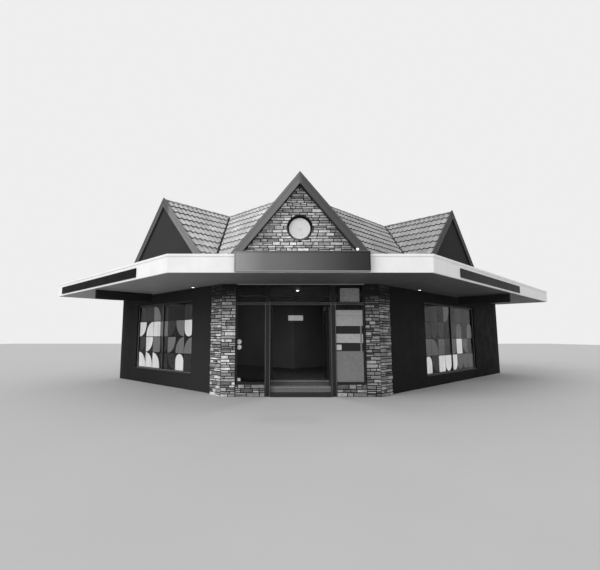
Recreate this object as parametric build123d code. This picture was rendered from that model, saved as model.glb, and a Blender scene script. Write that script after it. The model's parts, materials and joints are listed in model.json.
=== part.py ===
from build123d import *
import math
import os

# Corner shop building, one storey under a tiled roof with three street gables.
# Millimetres. The origin is at ground level in the middle of the corner bay's
# stone face. +X is to the right seen from the street, +Y into the building.
# Each wing has its own frame: x runs along its street from the virtual corner
# of the two streets, y runs into the building, and z is up.

os.makedirs("parts", exist_ok=True)

# Plan
bay_width = 4185            # stone face of the corner bay
wing_depth = 4850           # street face to rear face of a wing
left_length = 6500          # left wing, from the bay's corner to its end wall
right_length = 9800         # right wing, from the bay's corner to the party wall
left_setback_depth = 180    # rendered wall behind the line of the stone
right_setback_depth = 40
wall = 250                  # thickness of the outer walls

# Roof
spring_rise = 345           # roof surface at the line of the stone, above the canopy's deck
main_pitch = 45             # degrees, wings and side gables
corner_gable_inset = 37     # foot of the corner gable's roof line inside the bay's corner
roof_skin = 120             # rafters, battens and tiles together
eave_inset = 50             # street eave behind the line of the stone
rear_overhang = 300
verge_overhang = 150
gable_overhang = 260        # roof of a gable in front of the stone line
left_gable_at = 2820        # apex of a side gable along its street wall
right_gable_at = 4650
barge_thickness = 40
barge_width = 210
barge_rise = 60             # barge board above the roof surface
barge_groove = 14           # groove along a barge board
barge_groove_depth = 8
barge_groove_from_top = 75
gable_foot_rise = 250       # gable roofs end this far above the canopy's deck

# Stone gable over the bay
disc_below_ridge = 1420     # middle of the disc
disc_radius = 300
disc_thickness = 40
disc_rim_radius = 10        # softened edge of the disc
disc_recess_depth = 90
disc_shadow = 45            # dark ring between the disc and the stone

# Canopy
soffit_height = 2960
soffit_thickness = 25
canopy_thickness = 190      # from the soffit to the top of the deck
deck_thickness = 25
fascia_height = 420
fascia_thickness = 40
fascia_cap = 18             # capping that stands out of the fascia
fascia_cap_height = 55
bay_reach = 1920            # canopy in front of the bay
left_reach = 2040
right_reach = 1900
left_canopy_past = 340      # canopy past the left end wall

# Stone piers and stall risers
pier_width = 375            # stone face between the shopfront and the bay's corner
stone_depth = 350
left_return_length = 440    # stone that turns on to the street wall
right_return_length = 520
stall_height = 320

# Floor, steps and ceiling
floor_height = 375
floor_thickness = 150
first_step = 100
second_step = 240
step_front = 60             # threshold in front of the stone face
first_tread_end = 100
step_tread = 300
step_side_gap = 10          # steps to the sides of the recess
nosing = 20
nosing_height = 40
ceiling_thickness = 40

# Shopfront
door_half = 810             # half of the entrance opening
post_width = 130            # entrance posts
frame_depth = 70
frame_front = 20            # shopfront frame behind the stone face
stile = 45                  # frame beside a pier
rail = 50                   # horizontal frame members
transom_drop = 530          # middle of the transom below the canopy's soffit
glazing_bar_drop = 340
glazing_bar = 25
glass = 10
cheek_end = 500             # the entrance recess ends here
head_thickness = 70

# Entrance doors, standing open
leaf_gap = 8
leaf_thickness = 45
leaf_stile_width = 90
leaf_bottom_rail = 200
leaf_edge_gap = 3           # leaf edge to hinge axis
hinge_offset = 14           # hinge axis behind the end of the recess
hinge_inset = 8             # hinge axis to the leaf's face
hinge_radius = 6
hinge_height = 110
hinge_play = 0.3
hinges_per_leaf = 3
pull_height = 1050          # middle of a door pull above the floor
pull_length = 500
pull_radius = 12
pull_standoff = 50          # face of the leaf to the middle of the pull
pull_foot_radius = 8
pull_foot_inset = 60        # foot of a pull from its end
push_plate = (70, 300, 2)   # width, height and thickness

# Street windows: distance from the bay's corner, and from the wing's far end
left_window = (1700, 1250)
left_sill = 450
right_window = (2800, 2750)
right_sill = 320
window_head_drop = 310      # head of the openings below the canopy's soffit
window_frame = 55
window_frame_depth = 80
window_reveal = 40          # frame behind the face of the wall
mullion = 30
sill_projection = 25        # metal sill in front of the wall
sill_thickness = 20

# Signs, all plain
sign_width = 2990
sign_offset = -62           # middle of the main sign from the bay's axis
sign_lift = 5               # above the canopy's soffit
sign_height = 450
sign_depth = 120
sign_rim = 20
sign_tray_depth = 12
sign_lamp_at = 1165         # small lamp on top of the main sign
sign_lamp_radius = 32
sign_lamp_neck = 20
sign_lamp_neck_radius = 12
panel_depth = 30
panel_height = 225
panel_lift = 50             # above the canopy's soffit
left_panel = (820, 160)      # from the bay's corner, and from the wing's far end
right_panel = (700, 3980)
hanging_sign_height = 280
hanging_sign_thickness = 60
hanging_sign_gap = 120      # from fascia and from wall
left_hanging_at = 3700
right_hanging_at = 5200
board_inset = 10            # board to the edges of its pane
board_gap = 5               # board above the sill
board_below_transom = 174
board_thickness = 12
plate_width = 514
plate_drop = 113            # top of the plate below the canopy's soffit
plate_height = 363
plate_thickness = 25
plate_offset = 22           # middle of the plate from the middle of the bay window

# Round lamps under the canopy and the ceiling, as distances along and into a wing
lamp_radius = 75
lamp_drop = 12
lamp_chamfer = 4
canopy_lamp_from_stone = 150
left_canopy_lamp = 1190
right_canopy_lamp = 2130
left_room_lamp = (4330, 770)
right_room_lamp = (7230, 1070)
entrance_lamp = 1500        # behind the bay's stone face

# Places that follow from the sizes
half_bay = bay_width / 2
corner_run = bay_width / math.sqrt(2)       # bay corner from the virtual corner
ridge_depth = wing_depth / 2
pitch = math.tan(math.radians(main_pitch))
deck_top = soffit_height + canopy_thickness
fascia_top = soffit_height + fascia_height
spring = deck_top + spring_rise
ridge_height = spring + ridge_depth * pitch
gable_foot = deck_top + gable_foot_rise
steep = (ridge_height - gable_foot) / (half_bay - corner_gable_inset)
skin_rise = roof_skin * math.hypot(1, pitch)
corner_skin_rise = roof_skin * math.hypot(1, steep)
stone_top = spring - skin_rise
disc_height = ridge_height - disc_below_ridge
pier_inner = half_bay - pier_width
transom_height = soffit_height - transom_drop
glazing_bar_height = soffit_height - glazing_bar_drop
window_head = soffit_height - window_head_drop
far = 2 * (corner_run + wing_depth + left_length + right_length)  # solids that only cut reach this far
corner_frame = Location((0, -half_bay, 0), (0, 0, 45))

setbacks = {"left": left_setback_depth, "right": right_setback_depth}
lengths = {"left": left_length, "right": right_length}
returns = {"left": left_return_length, "right": right_return_length}
gables = {"left": left_gable_at, "right": right_gable_at}
windows = {"left": left_window, "right": right_window}
sills = {"left": left_sill, "right": right_sill}
reaches = {"left": left_reach, "right": right_reach}
panels = {"left": left_panel, "right": right_panel}
hangings = {"left": left_hanging_at, "right": right_hanging_at}
overhangs = {"left": verge_overhang, "right": 0}


def save(name, *shapes):
    solids = []
    for shape in shapes:
        solids += list(shape.solids())
    made = solids[0] if len(solids) == 1 else Compound(children=solids)
    made.label = name
    export_step(made, f"parts/{name}.step")


def block(x0, x1, y0, y1, z0, z1):
    """A box between two corners."""
    return Pos((x0 + x1) / 2, (y0 + y1) / 2, (z0 + z1) / 2) * Box(x1 - x0, y1 - y0, z1 - z0)


def plate(points, z0, z1):
    """A flat plate with the given outline in plan."""
    face = make_face(Polyline(*points, close=True))
    return Pos(0, 0, z0) * extrude(face, z1 - z0, dir=(0, 0, 1))


def along(points, x0, x1):
    """A prism along X whose section is given as (y, z)."""
    face = make_face(Polyline(*[(x0, y, z) for y, z in points], close=True))
    return extrude(face, x1 - x0, dir=(1, 0, 0))


def across(points, y0, y1):
    """A prism along Y whose section is given as (x, z)."""
    face = make_face(Polyline(*[(x, y0, z) for x, z in points], close=True))
    return extrude(face, y1 - y0, dir=(0, 1, 0))


def to_wing(side, shape):
    """Put a shape from a wing's own frame into the building."""
    placed = corner_frame * shape
    return placed if side == "right" else mirror(placed, about=Plane.YZ)


def wing_point(side, s, t):
    """Plan position of a point s along the wing from the bay's corner and t inwards."""
    sign = 1 if side == "right" else -1
    root = math.sqrt(0.5)
    return (sign * (half_bay + (s - t) * root), (s + t) * root)


def wing_end(side):
    return corner_run + lengths[side]


def between(side, gaps):
    """Stretch of a wing, given its distances from the bay's corner and from the far end."""
    return corner_run + gaps[0], wing_end(side) - gaps[1]


# Roof volumes, used to shape the roofs and to cut the walls under them

def under_main(side, rise, y0, x1):
    """Everything under a wing's roof surface, lowered by rise, in the wing's frame."""
    y2 = 2 * ridge_depth + rear_overhang
    top = ridge_height - rise
    points = [(y0, -far), (y0, top - (ridge_depth - y0) * pitch), (ridge_depth, top),
              (y2, top - (y2 - ridge_depth) * pitch), (y2, -far)]
    return along(points, -far, x1)


def under_gable(side, rise, y0, y1):
    """Everything under a side gable's roof surface, lowered by rise."""
    apex = corner_run + gables[side]
    top = ridge_height - rise
    span = (top + far) / pitch
    return across([(apex - span, -far), (apex, top), (apex + span, -far)], y0, y1)


def under_corner(rise, y0, y1):
    """Everything under the corner gable's roof surface, lowered by rise."""
    top = ridge_height - rise
    span = (top + far) / steep
    return across([(-span, -far), (0, top), (span, -far)], y0, y1)


def half_space(side):
    """The half of the building that belongs to a wing, split on the bay's axis."""
    x0, x1 = (0, far) if side == "right" else (-far, 0)
    return block(x0, x1, -far, far, -far, far)


# Walls

def street_wall_top(side):
    return stone_top + setbacks[side] * pitch


def street_wall(side):
    """Rendered street wall of a wing with its display window cut through."""
    back = setbacks[side]
    start = corner_run + returns[side]
    end = wing_end(side) - wall
    body = block(start, end, back, back + wall, 0, street_wall_top(side))
    x0, x1 = between(side, windows[side])
    body -= block(x0, x1, back - wall, back + 2 * wall, sills[side], window_head)
    return to_wing(side, body)


def gable_wall(side):
    """Panelled wall of a side gable, on top of the street wall."""
    back = setbacks[side]
    base = street_wall_top(side)
    body = under_gable(side, skin_rise, back, back + wall)
    body &= block(0, wing_end(side), back, back + wall, base, far)
    return to_wing(side, body)


def end_wall(side):
    """Gabled wall at the far end of a wing."""
    end = wing_end(side)
    body = block(end - wall, end, setbacks[side], wing_depth, 0, far)
    body &= under_main(side, skin_rise, setbacks[side], far)
    return to_wing(side, body)


def rear_wall(side):
    """Plain wall on the courtyard side, mitred where the two wings meet."""
    top = stone_top
    body = block(0, wing_end(side) - wall, wing_depth - wall, wing_depth, 0, top)
    return to_wing(side, body) & half_space(side) & behind_valley()


def behind_valley():
    """Cuts the rear walls where they meet on the bay's axis."""
    y = -half_bay + (wing_depth - wall) * math.sqrt(2)
    return block(-far, far, y, far, -wall, far)


def pier(side):
    """Stone pier that turns round the bay's corner on to the street wall."""
    depth = setbacks[side] + wall
    length = returns[side]
    sign = 1 if side == "right" else -1
    inner = stone_depth * math.sqrt(2) - depth
    points = [(sign * pier_inner, 0), (sign * half_bay, 0), wing_point(side, length, 0),
              wing_point(side, length, depth), wing_point(side, inner, depth),
              (sign * pier_inner, stone_depth)]
    return plate(points, 0, stone_top)


def stall_riser(side):
    """Low stone wall under a bay window."""
    body = block(door_half + post_width, pier_inner, 0, stone_depth, 0, stall_height)
    return body if side == "right" else mirror(body, about=Plane.YZ)


def corner_lintel():
    """Beam over the shopfront that carries the stone gable."""
    return block(-pier_inner, pier_inner, 0, stone_depth, soffit_height, stone_top)


def corner_gable_wall():
    """Stone gable over the bay, with a round recess for the disc."""
    body = under_corner(corner_skin_rise, 0, wall)
    body &= block(-half_bay, half_bay, 0, wall, stone_top, far)
    recess = Pos(0, disc_recess_depth / 2, disc_height) * Rot(90, 0, 0) * Cylinder(
        disc_radius + disc_shadow, disc_recess_depth)
    return body - recess


def gable_disc():
    """Pale round plaque at the bottom of the recess, with a softened rim."""
    disc = Cylinder(disc_radius, disc_thickness)
    disc = fillet(disc.edges().filter_by(GeomType.CIRCLE).group_by(Axis.Z)[-1], disc_rim_radius)
    return Pos(0, disc_recess_depth - disc_thickness / 2, disc_height) * Rot(90, 0, 0) * disc


# Floor, steps, ceiling

def inside(side, z0, z1):
    """The inside of a wing between its walls."""
    back = setbacks[side] + wall
    body = block(0, wing_end(side) - wall, back, wing_depth - wall, z0, z1)
    return to_wing(side, body)


def interior(z0, z1, front):
    """The inside of both wings, from front backwards."""
    room = (inside("left", z0, z1) & half_space("left")) + (inside("right", z0, z1) & half_space("right"))
    room &= block(-far, far, front, far, z0, z1)
    return room


def step_floor_front():
    return first_tread_end + step_tread


def floor_slab():
    """Raised shop floor, with a bay in front for the steps."""
    z0 = floor_height - floor_thickness
    room = interior(z0, floor_height, stone_depth)
    return room - block(-door_half - post_width, door_half + post_width, 0, cheek_end, z0, floor_height)


def entrance_steps():
    """Threshold, one step and the edge of the floor, each with a nosing."""
    front = first_tread_end
    back = step_floor_front()
    low, mid, top = first_step, second_step, floor_height
    points = [(-step_front, 0), (-step_front, low)]
    for edge, tread, upper in ((front, low, mid), (back, mid, top)):
        under = upper - nosing_height
        points += [(edge + nosing, tread), (edge + nosing, under), (edge, under), (edge, upper)]
    points += [(cheek_end, top), (cheek_end, 0)]
    return along(points, step_side_gap - door_half, door_half - step_side_gap)


def ceiling():
    """Flat ceiling at the height of the canopy's soffit."""
    return interior(soffit_height, soffit_height + ceiling_thickness, stone_depth)


# Shopfront

def shopfront_frame():
    """Posts, sills, transom, glazing bar and head, standing between the piers."""
    y0, y1 = frame_front, frame_front + frame_depth
    out = door_half + post_width
    bars = block(-pier_inner, pier_inner, y0, y1, transom_height - rail / 2, transom_height + rail / 2)
    bars += block(-pier_inner, pier_inner, y0, y1, soffit_height - rail, soffit_height)
    bars += block(-pier_inner, pier_inner, y0 + rail / 2, y1, glazing_bar_height - glazing_bar / 2,
                  glazing_bar_height + glazing_bar / 2)
    for sign in (-1, 1):
        inner, outer = sorted((sign * door_half, sign * out))
        bars += block(inner, outer, y0, y1, 0, soffit_height)
        inner, outer = sorted((sign * (pier_inner - stile), sign * pier_inner))
        bars += block(inner, outer, y0, y1, stall_height, soffit_height)
        inner, outer = sorted((sign * out, sign * pier_inner))
        bars += block(inner, outer, y0, y1, stall_height, stall_height + rail)
    return bars


def pane(x0, x1, z0, z1):
    middle = frame_front + frame_depth / 2
    return block(x0, x1, middle, middle + glass, z0, z1)


def shopfront_glass():
    """Two bay windows and the row of fanlights above the transom."""
    out = door_half + post_width
    low, high_edge = stall_height + rail, transom_height - rail / 2
    left = pane(-pier_inner + stile, -out, low, high_edge)
    right = pane(out, pier_inner - stile, low, high_edge)
    return left, right


def fanlight_glass():
    """Glass above the transom, one sheet in each field."""
    edges = [-pier_inner + stile, -door_half - post_width, -door_half, door_half,
             door_half + post_width, pier_inner - stile]
    levels = [transom_height + rail / 2, glazing_bar_height - glazing_bar / 2,
              glazing_bar_height + glazing_bar / 2, soffit_height - rail]
    panes = []
    for x0, x1 in zip(edges[0::2], edges[1::2]):
        for z0, z1 in zip(levels[0::2], levels[1::2]):
            panes.append(pane(x0, x1, z0, z1))
    return panes


def recess_cheek(side):
    """Side of the entrance recess, behind a post, with the door's fixed hinge knuckles."""
    body = block(door_half, door_half + post_width, frame_front + frame_depth, cheek_end, 0,
                 transom_height - rail / 2)
    body += fixed_knuckles()
    return body if side == "right" else mirror(body, about=Plane.YZ)


def recess_head():
    """Flat top of the entrance recess, over the door leaves."""
    out = door_half + post_width
    z0 = transom_height - rail / 2
    return block(-out, out, frame_front + frame_depth, cheek_end, z0, z0 + head_thickness)


def hinge_x():
    return door_half - leaf_edge_gap


def hinge_y():
    return cheek_end + hinge_offset


def leaf_bottom():
    return floor_height + leaf_gap


def leaf_top():
    return transom_height - rail / 2 - leaf_gap


def hinge_levels():
    """Middle heights of the hinges of one leaf."""
    low = leaf_bottom() + leaf_bottom_rail
    span = leaf_top() - leaf_stile_width - hinge_height - low
    return [low + hinge_height / 2 + span * i / (hinges_per_leaf - 1) for i in range(hinges_per_leaf)]


def fixed_knuckles():
    """Lower half of each hinge, on a flap against the end of the recess."""
    half = hinge_height / 2
    made = None
    for level in hinge_levels():
        z = level - half / 2 - hinge_play
        knuckle = Pos(hinge_x(), hinge_y(), z) * Cylinder(hinge_radius, half)
        knuckle += block(hinge_x() + leaf_edge_gap, hinge_x() + leaf_stile_width / 2, cheek_end,
                         hinge_y() + hinge_radius / 2, z - half / 2, z + half / 2)
        knuckle += block(hinge_x(), hinge_x() + leaf_edge_gap * 2, hinge_y() - hinge_radius / 2,
                         hinge_y() + hinge_radius / 2, z - half / 2, z + half / 2)
        made = knuckle if made is None else made + knuckle
    return made


def leaf_width():
    return door_half - leaf_edge_gap * 2 - leaf_gap / 2


def leaf_box(inset_edge, inset_bottom, inset_top, inset_face):
    """The open right leaf as a box, with its edges and faces moved in."""
    x1 = hinge_x() - hinge_inset
    y0 = hinge_y() + leaf_edge_gap
    return block(x1 - leaf_thickness + inset_face, x1 - inset_face, y0 + inset_edge,
                 y0 + leaf_width() - inset_edge, leaf_bottom() + inset_bottom, leaf_top() - inset_top)


def door_leaf():
    """Right leaf, open: stiles, rails, moving hinge knuckles, pull and push plate."""
    leaf = leaf_box(0, 0, 0, 0)
    leaf -= leaf_box(leaf_stile_width, leaf_bottom_rail, leaf_stile_width, -leaf_thickness)
    half = hinge_height / 2
    for level in hinge_levels():
        z = level + half / 2
        leaf += Pos(hinge_x(), hinge_y(), z) * Cylinder(hinge_radius, half)
        leaf += block(hinge_x() - hinge_inset, hinge_x(), hinge_y(), hinge_y() + hinge_radius,
                      z - half / 2, z + half / 2)
    return leaf + door_pull() + door_push_plate()


def pull_place():
    """Middle of the lock stile of the open right leaf, on its street face."""
    y = hinge_y() + leaf_edge_gap + leaf_width() - leaf_stile_width / 2
    return hinge_x() - hinge_inset, y, floor_height + pull_height


def door_pull():
    """Upright pull on two feet, on the face that is towards the street when the leaf is shut."""
    face, y, z = pull_place()
    pull = Pos(face + pull_standoff, y, z) * Cylinder(pull_radius, pull_length)
    for way in (-1, 1):
        foot = Rot(0, 90, 0) * Cylinder(pull_foot_radius, pull_standoff)
        pull += Pos(face + pull_standoff / 2, y, z + way * (pull_length / 2 - pull_foot_inset)) * foot
    return pull


def door_push_plate():
    """Thin plate on the other face, at the height of the pull."""
    face, y, z = pull_place()
    width, height, thickness = push_plate
    return block(face - leaf_thickness - thickness, face - leaf_thickness, y - width / 2, y + width / 2,
                 z - height / 2, z + height / 2)


def door_glass():
    """Glass of the right leaf."""
    return leaf_box(leaf_stile_width, leaf_bottom_rail, leaf_stile_width, (leaf_thickness - glass) / 2)


def both_doors():
    leaf, glazing = door_leaf(), door_glass()
    save("right_door", leaf)
    save("left_door", mirror(leaf, about=Plane.YZ))
    save("right_door_glass", glazing)
    save("left_door_glass", mirror(glazing, about=Plane.YZ))


# Street windows

def window_field(side, inset, depth0, depth1):
    back = setbacks[side] + window_reveal
    x0, x1 = between(side, windows[side])
    z0, z1 = sills[side], window_head
    return block(x0 + inset, x1 - inset, back + depth0, back + depth1, z0 + inset, z1 - inset)


def street_window(side):
    """Frame with a thin mullion in the middle and a metal sill in front."""
    x0, x1 = between(side, windows[side])
    middle = (x0 + x1) / 2
    back = setbacks[side] + window_reveal
    frame = window_field(side, 0, 0, window_frame_depth)
    frame -= window_field(side, window_frame, -window_frame_depth, 2 * window_frame_depth)
    frame += block(middle - mullion / 2, middle + mullion / 2, back, back + window_frame_depth,
                   sills[side], window_head)
    frame += block(x0, x1, setbacks[side] - sill_projection, back, sills[side], sills[side] + sill_thickness)
    return to_wing(side, frame)


def street_glass(side):
    """One sheet each side of the mullion."""
    middle = sum(between(side, windows[side])) / 2
    depth = (window_frame_depth - glass) / 2
    sheet = window_field(side, window_frame, depth, depth + glass)
    sheet -= block(middle - mullion / 2, middle + mullion / 2, -far, far, 0, far)
    return to_wing(side, sheet)


# Canopy

def canopy_outline():
    """Outer corners of the canopy in the right wing's frame, from left end to party wall."""
    left_end = corner_run + left_length + left_canopy_past
    diagonal = (half_bay - bay_reach) * math.sqrt(2)
    return [(-left_reach, left_end), (-left_reach, diagonal + left_reach),
            (diagonal + right_reach, -right_reach), (wing_end("right"), -right_reach)]


def canopy_plan():
    """Outer corners, then the line of the building's street faces."""
    left_end = corner_run + left_length + left_canopy_past
    return canopy_outline() + [
        (wing_end("right"), right_setback_depth), (corner_run + right_return_length, right_setback_depth),
        (corner_run + right_return_length, 0), (corner_run, 0), (0, corner_run),
        (0, corner_run + left_return_length), (left_setback_depth, corner_run + left_return_length),
        (left_setback_depth, left_end)]


def within_outline(amount):
    """All that lies at least the given amount inside the canopy's outer edges."""
    (x0, y0), (x1, y1), (x2, y2), (x3, y3) = canopy_outline()
    turn = amount * math.tan(math.pi / 8)
    return plate([(x0 + amount, y0 - amount), (x1 + amount, y1 + turn), (x2 + turn, y2 + amount),
                  (x3, y3 + amount), (x3, y0 - amount)], 0, far)


def canopy_soffit():
    """Lining under the canopy."""
    slab = plate(canopy_plan(), soffit_height, soffit_height + soffit_thickness)
    return corner_frame * (slab & within_outline(fascia_thickness))


def canopy_deck():
    """Roof sheet of the canopy, behind its fascia."""
    slab = plate(canopy_plan(), deck_top - deck_thickness, deck_top) & within_outline(fascia_thickness)
    return corner_frame * slab


def canopy_fascia():
    """White fascia with a capping, mitred round the corners and closed at the left end."""
    ring = plate(canopy_plan(), soffit_height, fascia_top) - within_outline(fascia_thickness)
    cap = plate(cap_outline(), fascia_top - fascia_cap_height, fascia_top)
    cap -= within_outline(0)
    return corner_frame * (ring + cap)


def cap_outline():
    """Outline of the capping, which stands out of the fascia."""
    (x0, y0), (x1, y1), (x2, y2), (x3, y3) = canopy_outline()
    turn = fascia_cap * math.tan(math.pi / 8)
    return [(x0 - fascia_cap, y0 + fascia_cap), (x1 - fascia_cap, y1 - turn),
            (x2 - turn, y2 - fascia_cap), (x3, y3 - fascia_cap), (x3, y3 + fascia_thickness),
            (x2, y2 + fascia_thickness), (x1 + fascia_thickness, y1), (x0 + fascia_thickness, y0),
            (left_setback_depth, y0), (left_setback_depth, y0 + fascia_cap)]


# Roofs

def main_slope(side, street):
    """One slope of a wing's roof, as a slab of constant thickness."""
    end = wing_end(side) + overhangs[side]
    body = under_main(side, 0, eave_inset, end) - under_main(side, skin_rise, eave_inset, end)
    if street:
        body &= block(-far, far, eave_inset, ridge_depth, 0, far)
        body -= under_gable(side, 0, -far, setbacks[side] + wall)
    else:
        body &= block(-far, far, ridge_depth, far, 0, far)
    body = to_wing(side, body) & half_space(side)
    return body & block(-far, far, wall, far, 0, far)


def above_main(side):
    return to_wing(side, under_main(side, 0, eave_inset, far)) & half_space(side)


def side_gable_roof(side):
    """Two slopes of a side gable, ending in valleys on the wing's roof."""
    shell = under_gable(side, 0, -gable_overhang, ridge_depth)
    shell -= under_gable(side, skin_rise, -gable_overhang, ridge_depth)
    shell &= block(-far, far, -gable_overhang, ridge_depth, gable_foot, far)
    shell -= under_main(side, 0, eave_inset, far)
    return to_wing(side, shell)


def corner_gable_roof():
    """Two steep slopes of the corner gable, ending in valleys on both wings."""
    back = -half_bay + ridge_depth * math.sqrt(2)
    shell = under_corner(0, -gable_overhang, back) - under_corner(corner_skin_rise, -gable_overhang, back)
    shell &= block(-far, far, -gable_overhang, back, gable_foot, far)
    for side in ("left", "right"):
        shell -= above_main(side)
    return shell


def barge_boards(apex, slope, front):
    """A pair of sloping boards meeting at the apex of a gable, with a sunk groove."""
    lean = math.hypot(1, slope)
    top = ridge_height + barge_rise * lean
    groove = top - barge_groove_from_top * lean
    boards = chevron(apex, slope, top, barge_width * lean, front, front + barge_thickness)
    return boards - chevron(apex, slope, groove, barge_groove * lean, front, front + barge_groove_depth)


def chevron(apex, slope, top, drop, y0, y1):
    """A band that rises to its top at the apex and falls on both sides down to the gable's foot."""
    outer = (top - gable_foot) / slope
    inner = (top - drop - gable_foot) / slope
    points = [(apex - outer, gable_foot), (apex, top), (apex + outer, gable_foot),
              (apex + inner, gable_foot), (apex, top - drop), (apex - inner, gable_foot)]
    return across(points, y0, y1)


def side_barges(side):
    return to_wing(side, barge_boards(corner_run + gables[side], pitch, -gable_overhang - barge_thickness))


def corner_barges():
    return barge_boards(0, steep, -gable_overhang - barge_thickness)


# Signs and lamps

def main_sign():
    """Plain sign box on the front of the canopy, its face sunk behind a rim."""
    x0, x1 = sign_offset - sign_width / 2, sign_offset + sign_width / 2
    z0 = soffit_height + sign_lift
    front = -bay_reach - fascia_cap - sign_depth
    body = block(x0, x1, front, front + sign_depth, z0, z0 + sign_height)
    return body - block(x0 + sign_rim, x1 - sign_rim, front, front + sign_tray_depth,
                        z0 + sign_rim, z0 + sign_height - sign_rim)


def sign_lamp():
    """Small round lamp on a neck, on top of the main sign."""
    y = -bay_reach - fascia_cap - sign_depth / 2
    z = soffit_height + sign_lift + sign_height
    neck = Pos(sign_lamp_at, y, z + sign_lamp_neck) * Cylinder(sign_lamp_neck_radius, 2 * sign_lamp_neck)
    return neck + Pos(sign_lamp_at, y, z + sign_lamp_neck + sign_lamp_radius) * Sphere(sign_lamp_radius)


def fascia_panel(side):
    """Plain panel on a side fascia."""
    x0, x1 = between(side, panels[side])
    y1 = -reaches[side]
    z0 = soffit_height + panel_lift
    return to_wing(side, block(x0, x1, y1 - panel_depth, y1, z0, z0 + panel_height))


def hanging_sign(side):
    """Plain board under the canopy, square to the street."""
    x = corner_run + hangings[side]
    top = soffit_height
    return to_wing(side, block(x - hanging_sign_thickness / 2, x + hanging_sign_thickness / 2,
                               -reaches[side] + hanging_sign_gap, -hanging_sign_gap,
                               top - hanging_sign_height, top))


def downlights():
    """Shallow round lamps on the canopy's soffit and on the ceiling."""
    lamp = Cylinder(lamp_radius, lamp_drop)
    lamp = chamfer(lamp.edges().group_by(Axis.Z)[0], lamp_chamfer)
    spots = [wing_point("left", left_canopy_lamp, -canopy_lamp_from_stone),
             wing_point("right", right_canopy_lamp, -canopy_lamp_from_stone),
             wing_point("left", *left_room_lamp), wing_point("right", *right_room_lamp), (0, entrance_lamp)]
    return [Pos(x, y, soffit_height - lamp_drop / 2) * lamp for x, y in spots]


def window_board():
    """Plain board in front of the right-hand bay window's glass."""
    y1 = frame_front + frame_depth / 2
    x0 = door_half + post_width + board_inset
    x1 = pier_inner - stile - board_inset
    z0 = stall_height + rail + board_gap
    return block(x0, x1, y1 - board_thickness, y1, z0, transom_height - board_below_transom)


def hanging_plate():
    """Plain plate over the right-hand bay window, on the face of the frame."""
    y1 = frame_front + rail / 2
    x = (door_half + post_width + pier_inner - stile) / 2 + plate_offset
    z1 = soffit_height - plate_drop
    return block(x - plate_width / 2, x + plate_width / 2, y1 - plate_thickness, y1, z1 - plate_height, z1)


save("left_front_wall", street_wall("left"))
save("right_front_wall", street_wall("right"))
save("left_gable_wall", gable_wall("left"))
save("right_gable_wall", gable_wall("right"))
save("left_end_wall", end_wall("left"))
save("party_wall", end_wall("right"))
save("left_rear_wall", rear_wall("left"))
save("right_rear_wall", rear_wall("right"))
save("left_stone_pier", pier("left"))
save("right_stone_pier", pier("right"))
save("left_stall_riser", stall_riser("left"))
save("right_stall_riser", stall_riser("right"))
save("corner_lintel", corner_lintel())
save("corner_gable_wall", corner_gable_wall())
save("gable_disc", gable_disc())
save("floor_slab", floor_slab())
save("entrance_steps", entrance_steps())
save("ceiling", ceiling())
save("shopfront_frame", shopfront_frame())
save("shopfront_glass", *shopfront_glass())
save("fanlight_glass", *fanlight_glass())
save("left_recess_cheek", recess_cheek("left"))
save("right_recess_cheek", recess_cheek("right"))
save("recess_head", recess_head())
both_doors()
for side in ("left", "right"):
    save(f"{side}_window_frame", street_window(side))
    save(f"{side}_window_glass", street_glass(side))
    save(f"{side}_roof_street_slope", main_slope(side, True))
    save(f"{side}_roof_rear_slope", main_slope(side, False))
    save(f"{side}_gable_roof", side_gable_roof(side))
    save(f"{side}_barge_boards", side_barges(side))
    save(f"{side}_fascia_panel", fascia_panel(side))
    save(f"{side}_hanging_sign", hanging_sign(side))
save("corner_gable_roof", corner_gable_roof())
save("corner_barge_boards", corner_barges())
save("canopy_soffit", canopy_soffit())
save("canopy_deck", canopy_deck())
save("canopy_fascia", canopy_fascia())
save("main_sign", main_sign())
save("sign_lamp", sign_lamp())
save("window_board", window_board())
save("hanging_plate", hanging_plate())
save("downlights", *downlights())
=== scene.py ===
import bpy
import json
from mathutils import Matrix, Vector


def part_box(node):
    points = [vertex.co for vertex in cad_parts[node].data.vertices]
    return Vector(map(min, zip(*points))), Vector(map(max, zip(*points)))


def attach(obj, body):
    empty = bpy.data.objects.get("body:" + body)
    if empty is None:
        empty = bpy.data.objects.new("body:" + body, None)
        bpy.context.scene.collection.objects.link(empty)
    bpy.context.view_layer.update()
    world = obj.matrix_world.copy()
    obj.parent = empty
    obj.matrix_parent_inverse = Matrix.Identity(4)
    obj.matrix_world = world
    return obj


bl_info = {
    "name": "Corner shop building",
    "version": (1, 0, 0),
    "blender": (4, 5, 0),
    "location": "3D View > Sidebar > Corner Shop",
    "description": "Dresses a corner shop with stone, roof tiles, boards, glass and paint",
    "category": "Object",
}

import json
import math
import random
from typing import NamedTuple

import bmesh
import bpy
from mathutils import Matrix, Vector

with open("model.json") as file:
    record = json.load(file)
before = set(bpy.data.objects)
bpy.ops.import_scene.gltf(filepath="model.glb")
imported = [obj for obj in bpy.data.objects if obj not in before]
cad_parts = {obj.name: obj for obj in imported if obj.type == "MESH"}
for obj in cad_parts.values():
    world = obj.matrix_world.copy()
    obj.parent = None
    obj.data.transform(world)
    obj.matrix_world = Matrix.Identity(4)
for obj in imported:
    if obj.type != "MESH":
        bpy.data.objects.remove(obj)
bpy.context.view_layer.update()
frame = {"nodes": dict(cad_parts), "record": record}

# Places that the fixed parts give, in metres. s runs along a wing's street from the bay's corner,
# t runs into the building.
ORIGIN = Vector((0, 0, 0))
UP = Vector((0, 0, 1))
ROOT = math.sqrt(0.5)
HALF_BAY = 2.0925
GABLE_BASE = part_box("canopy_deck")[1].z
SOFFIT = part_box("canopy_soffit")[0].z
FASCIA_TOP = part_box("canopy_fascia")[1].z
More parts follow.
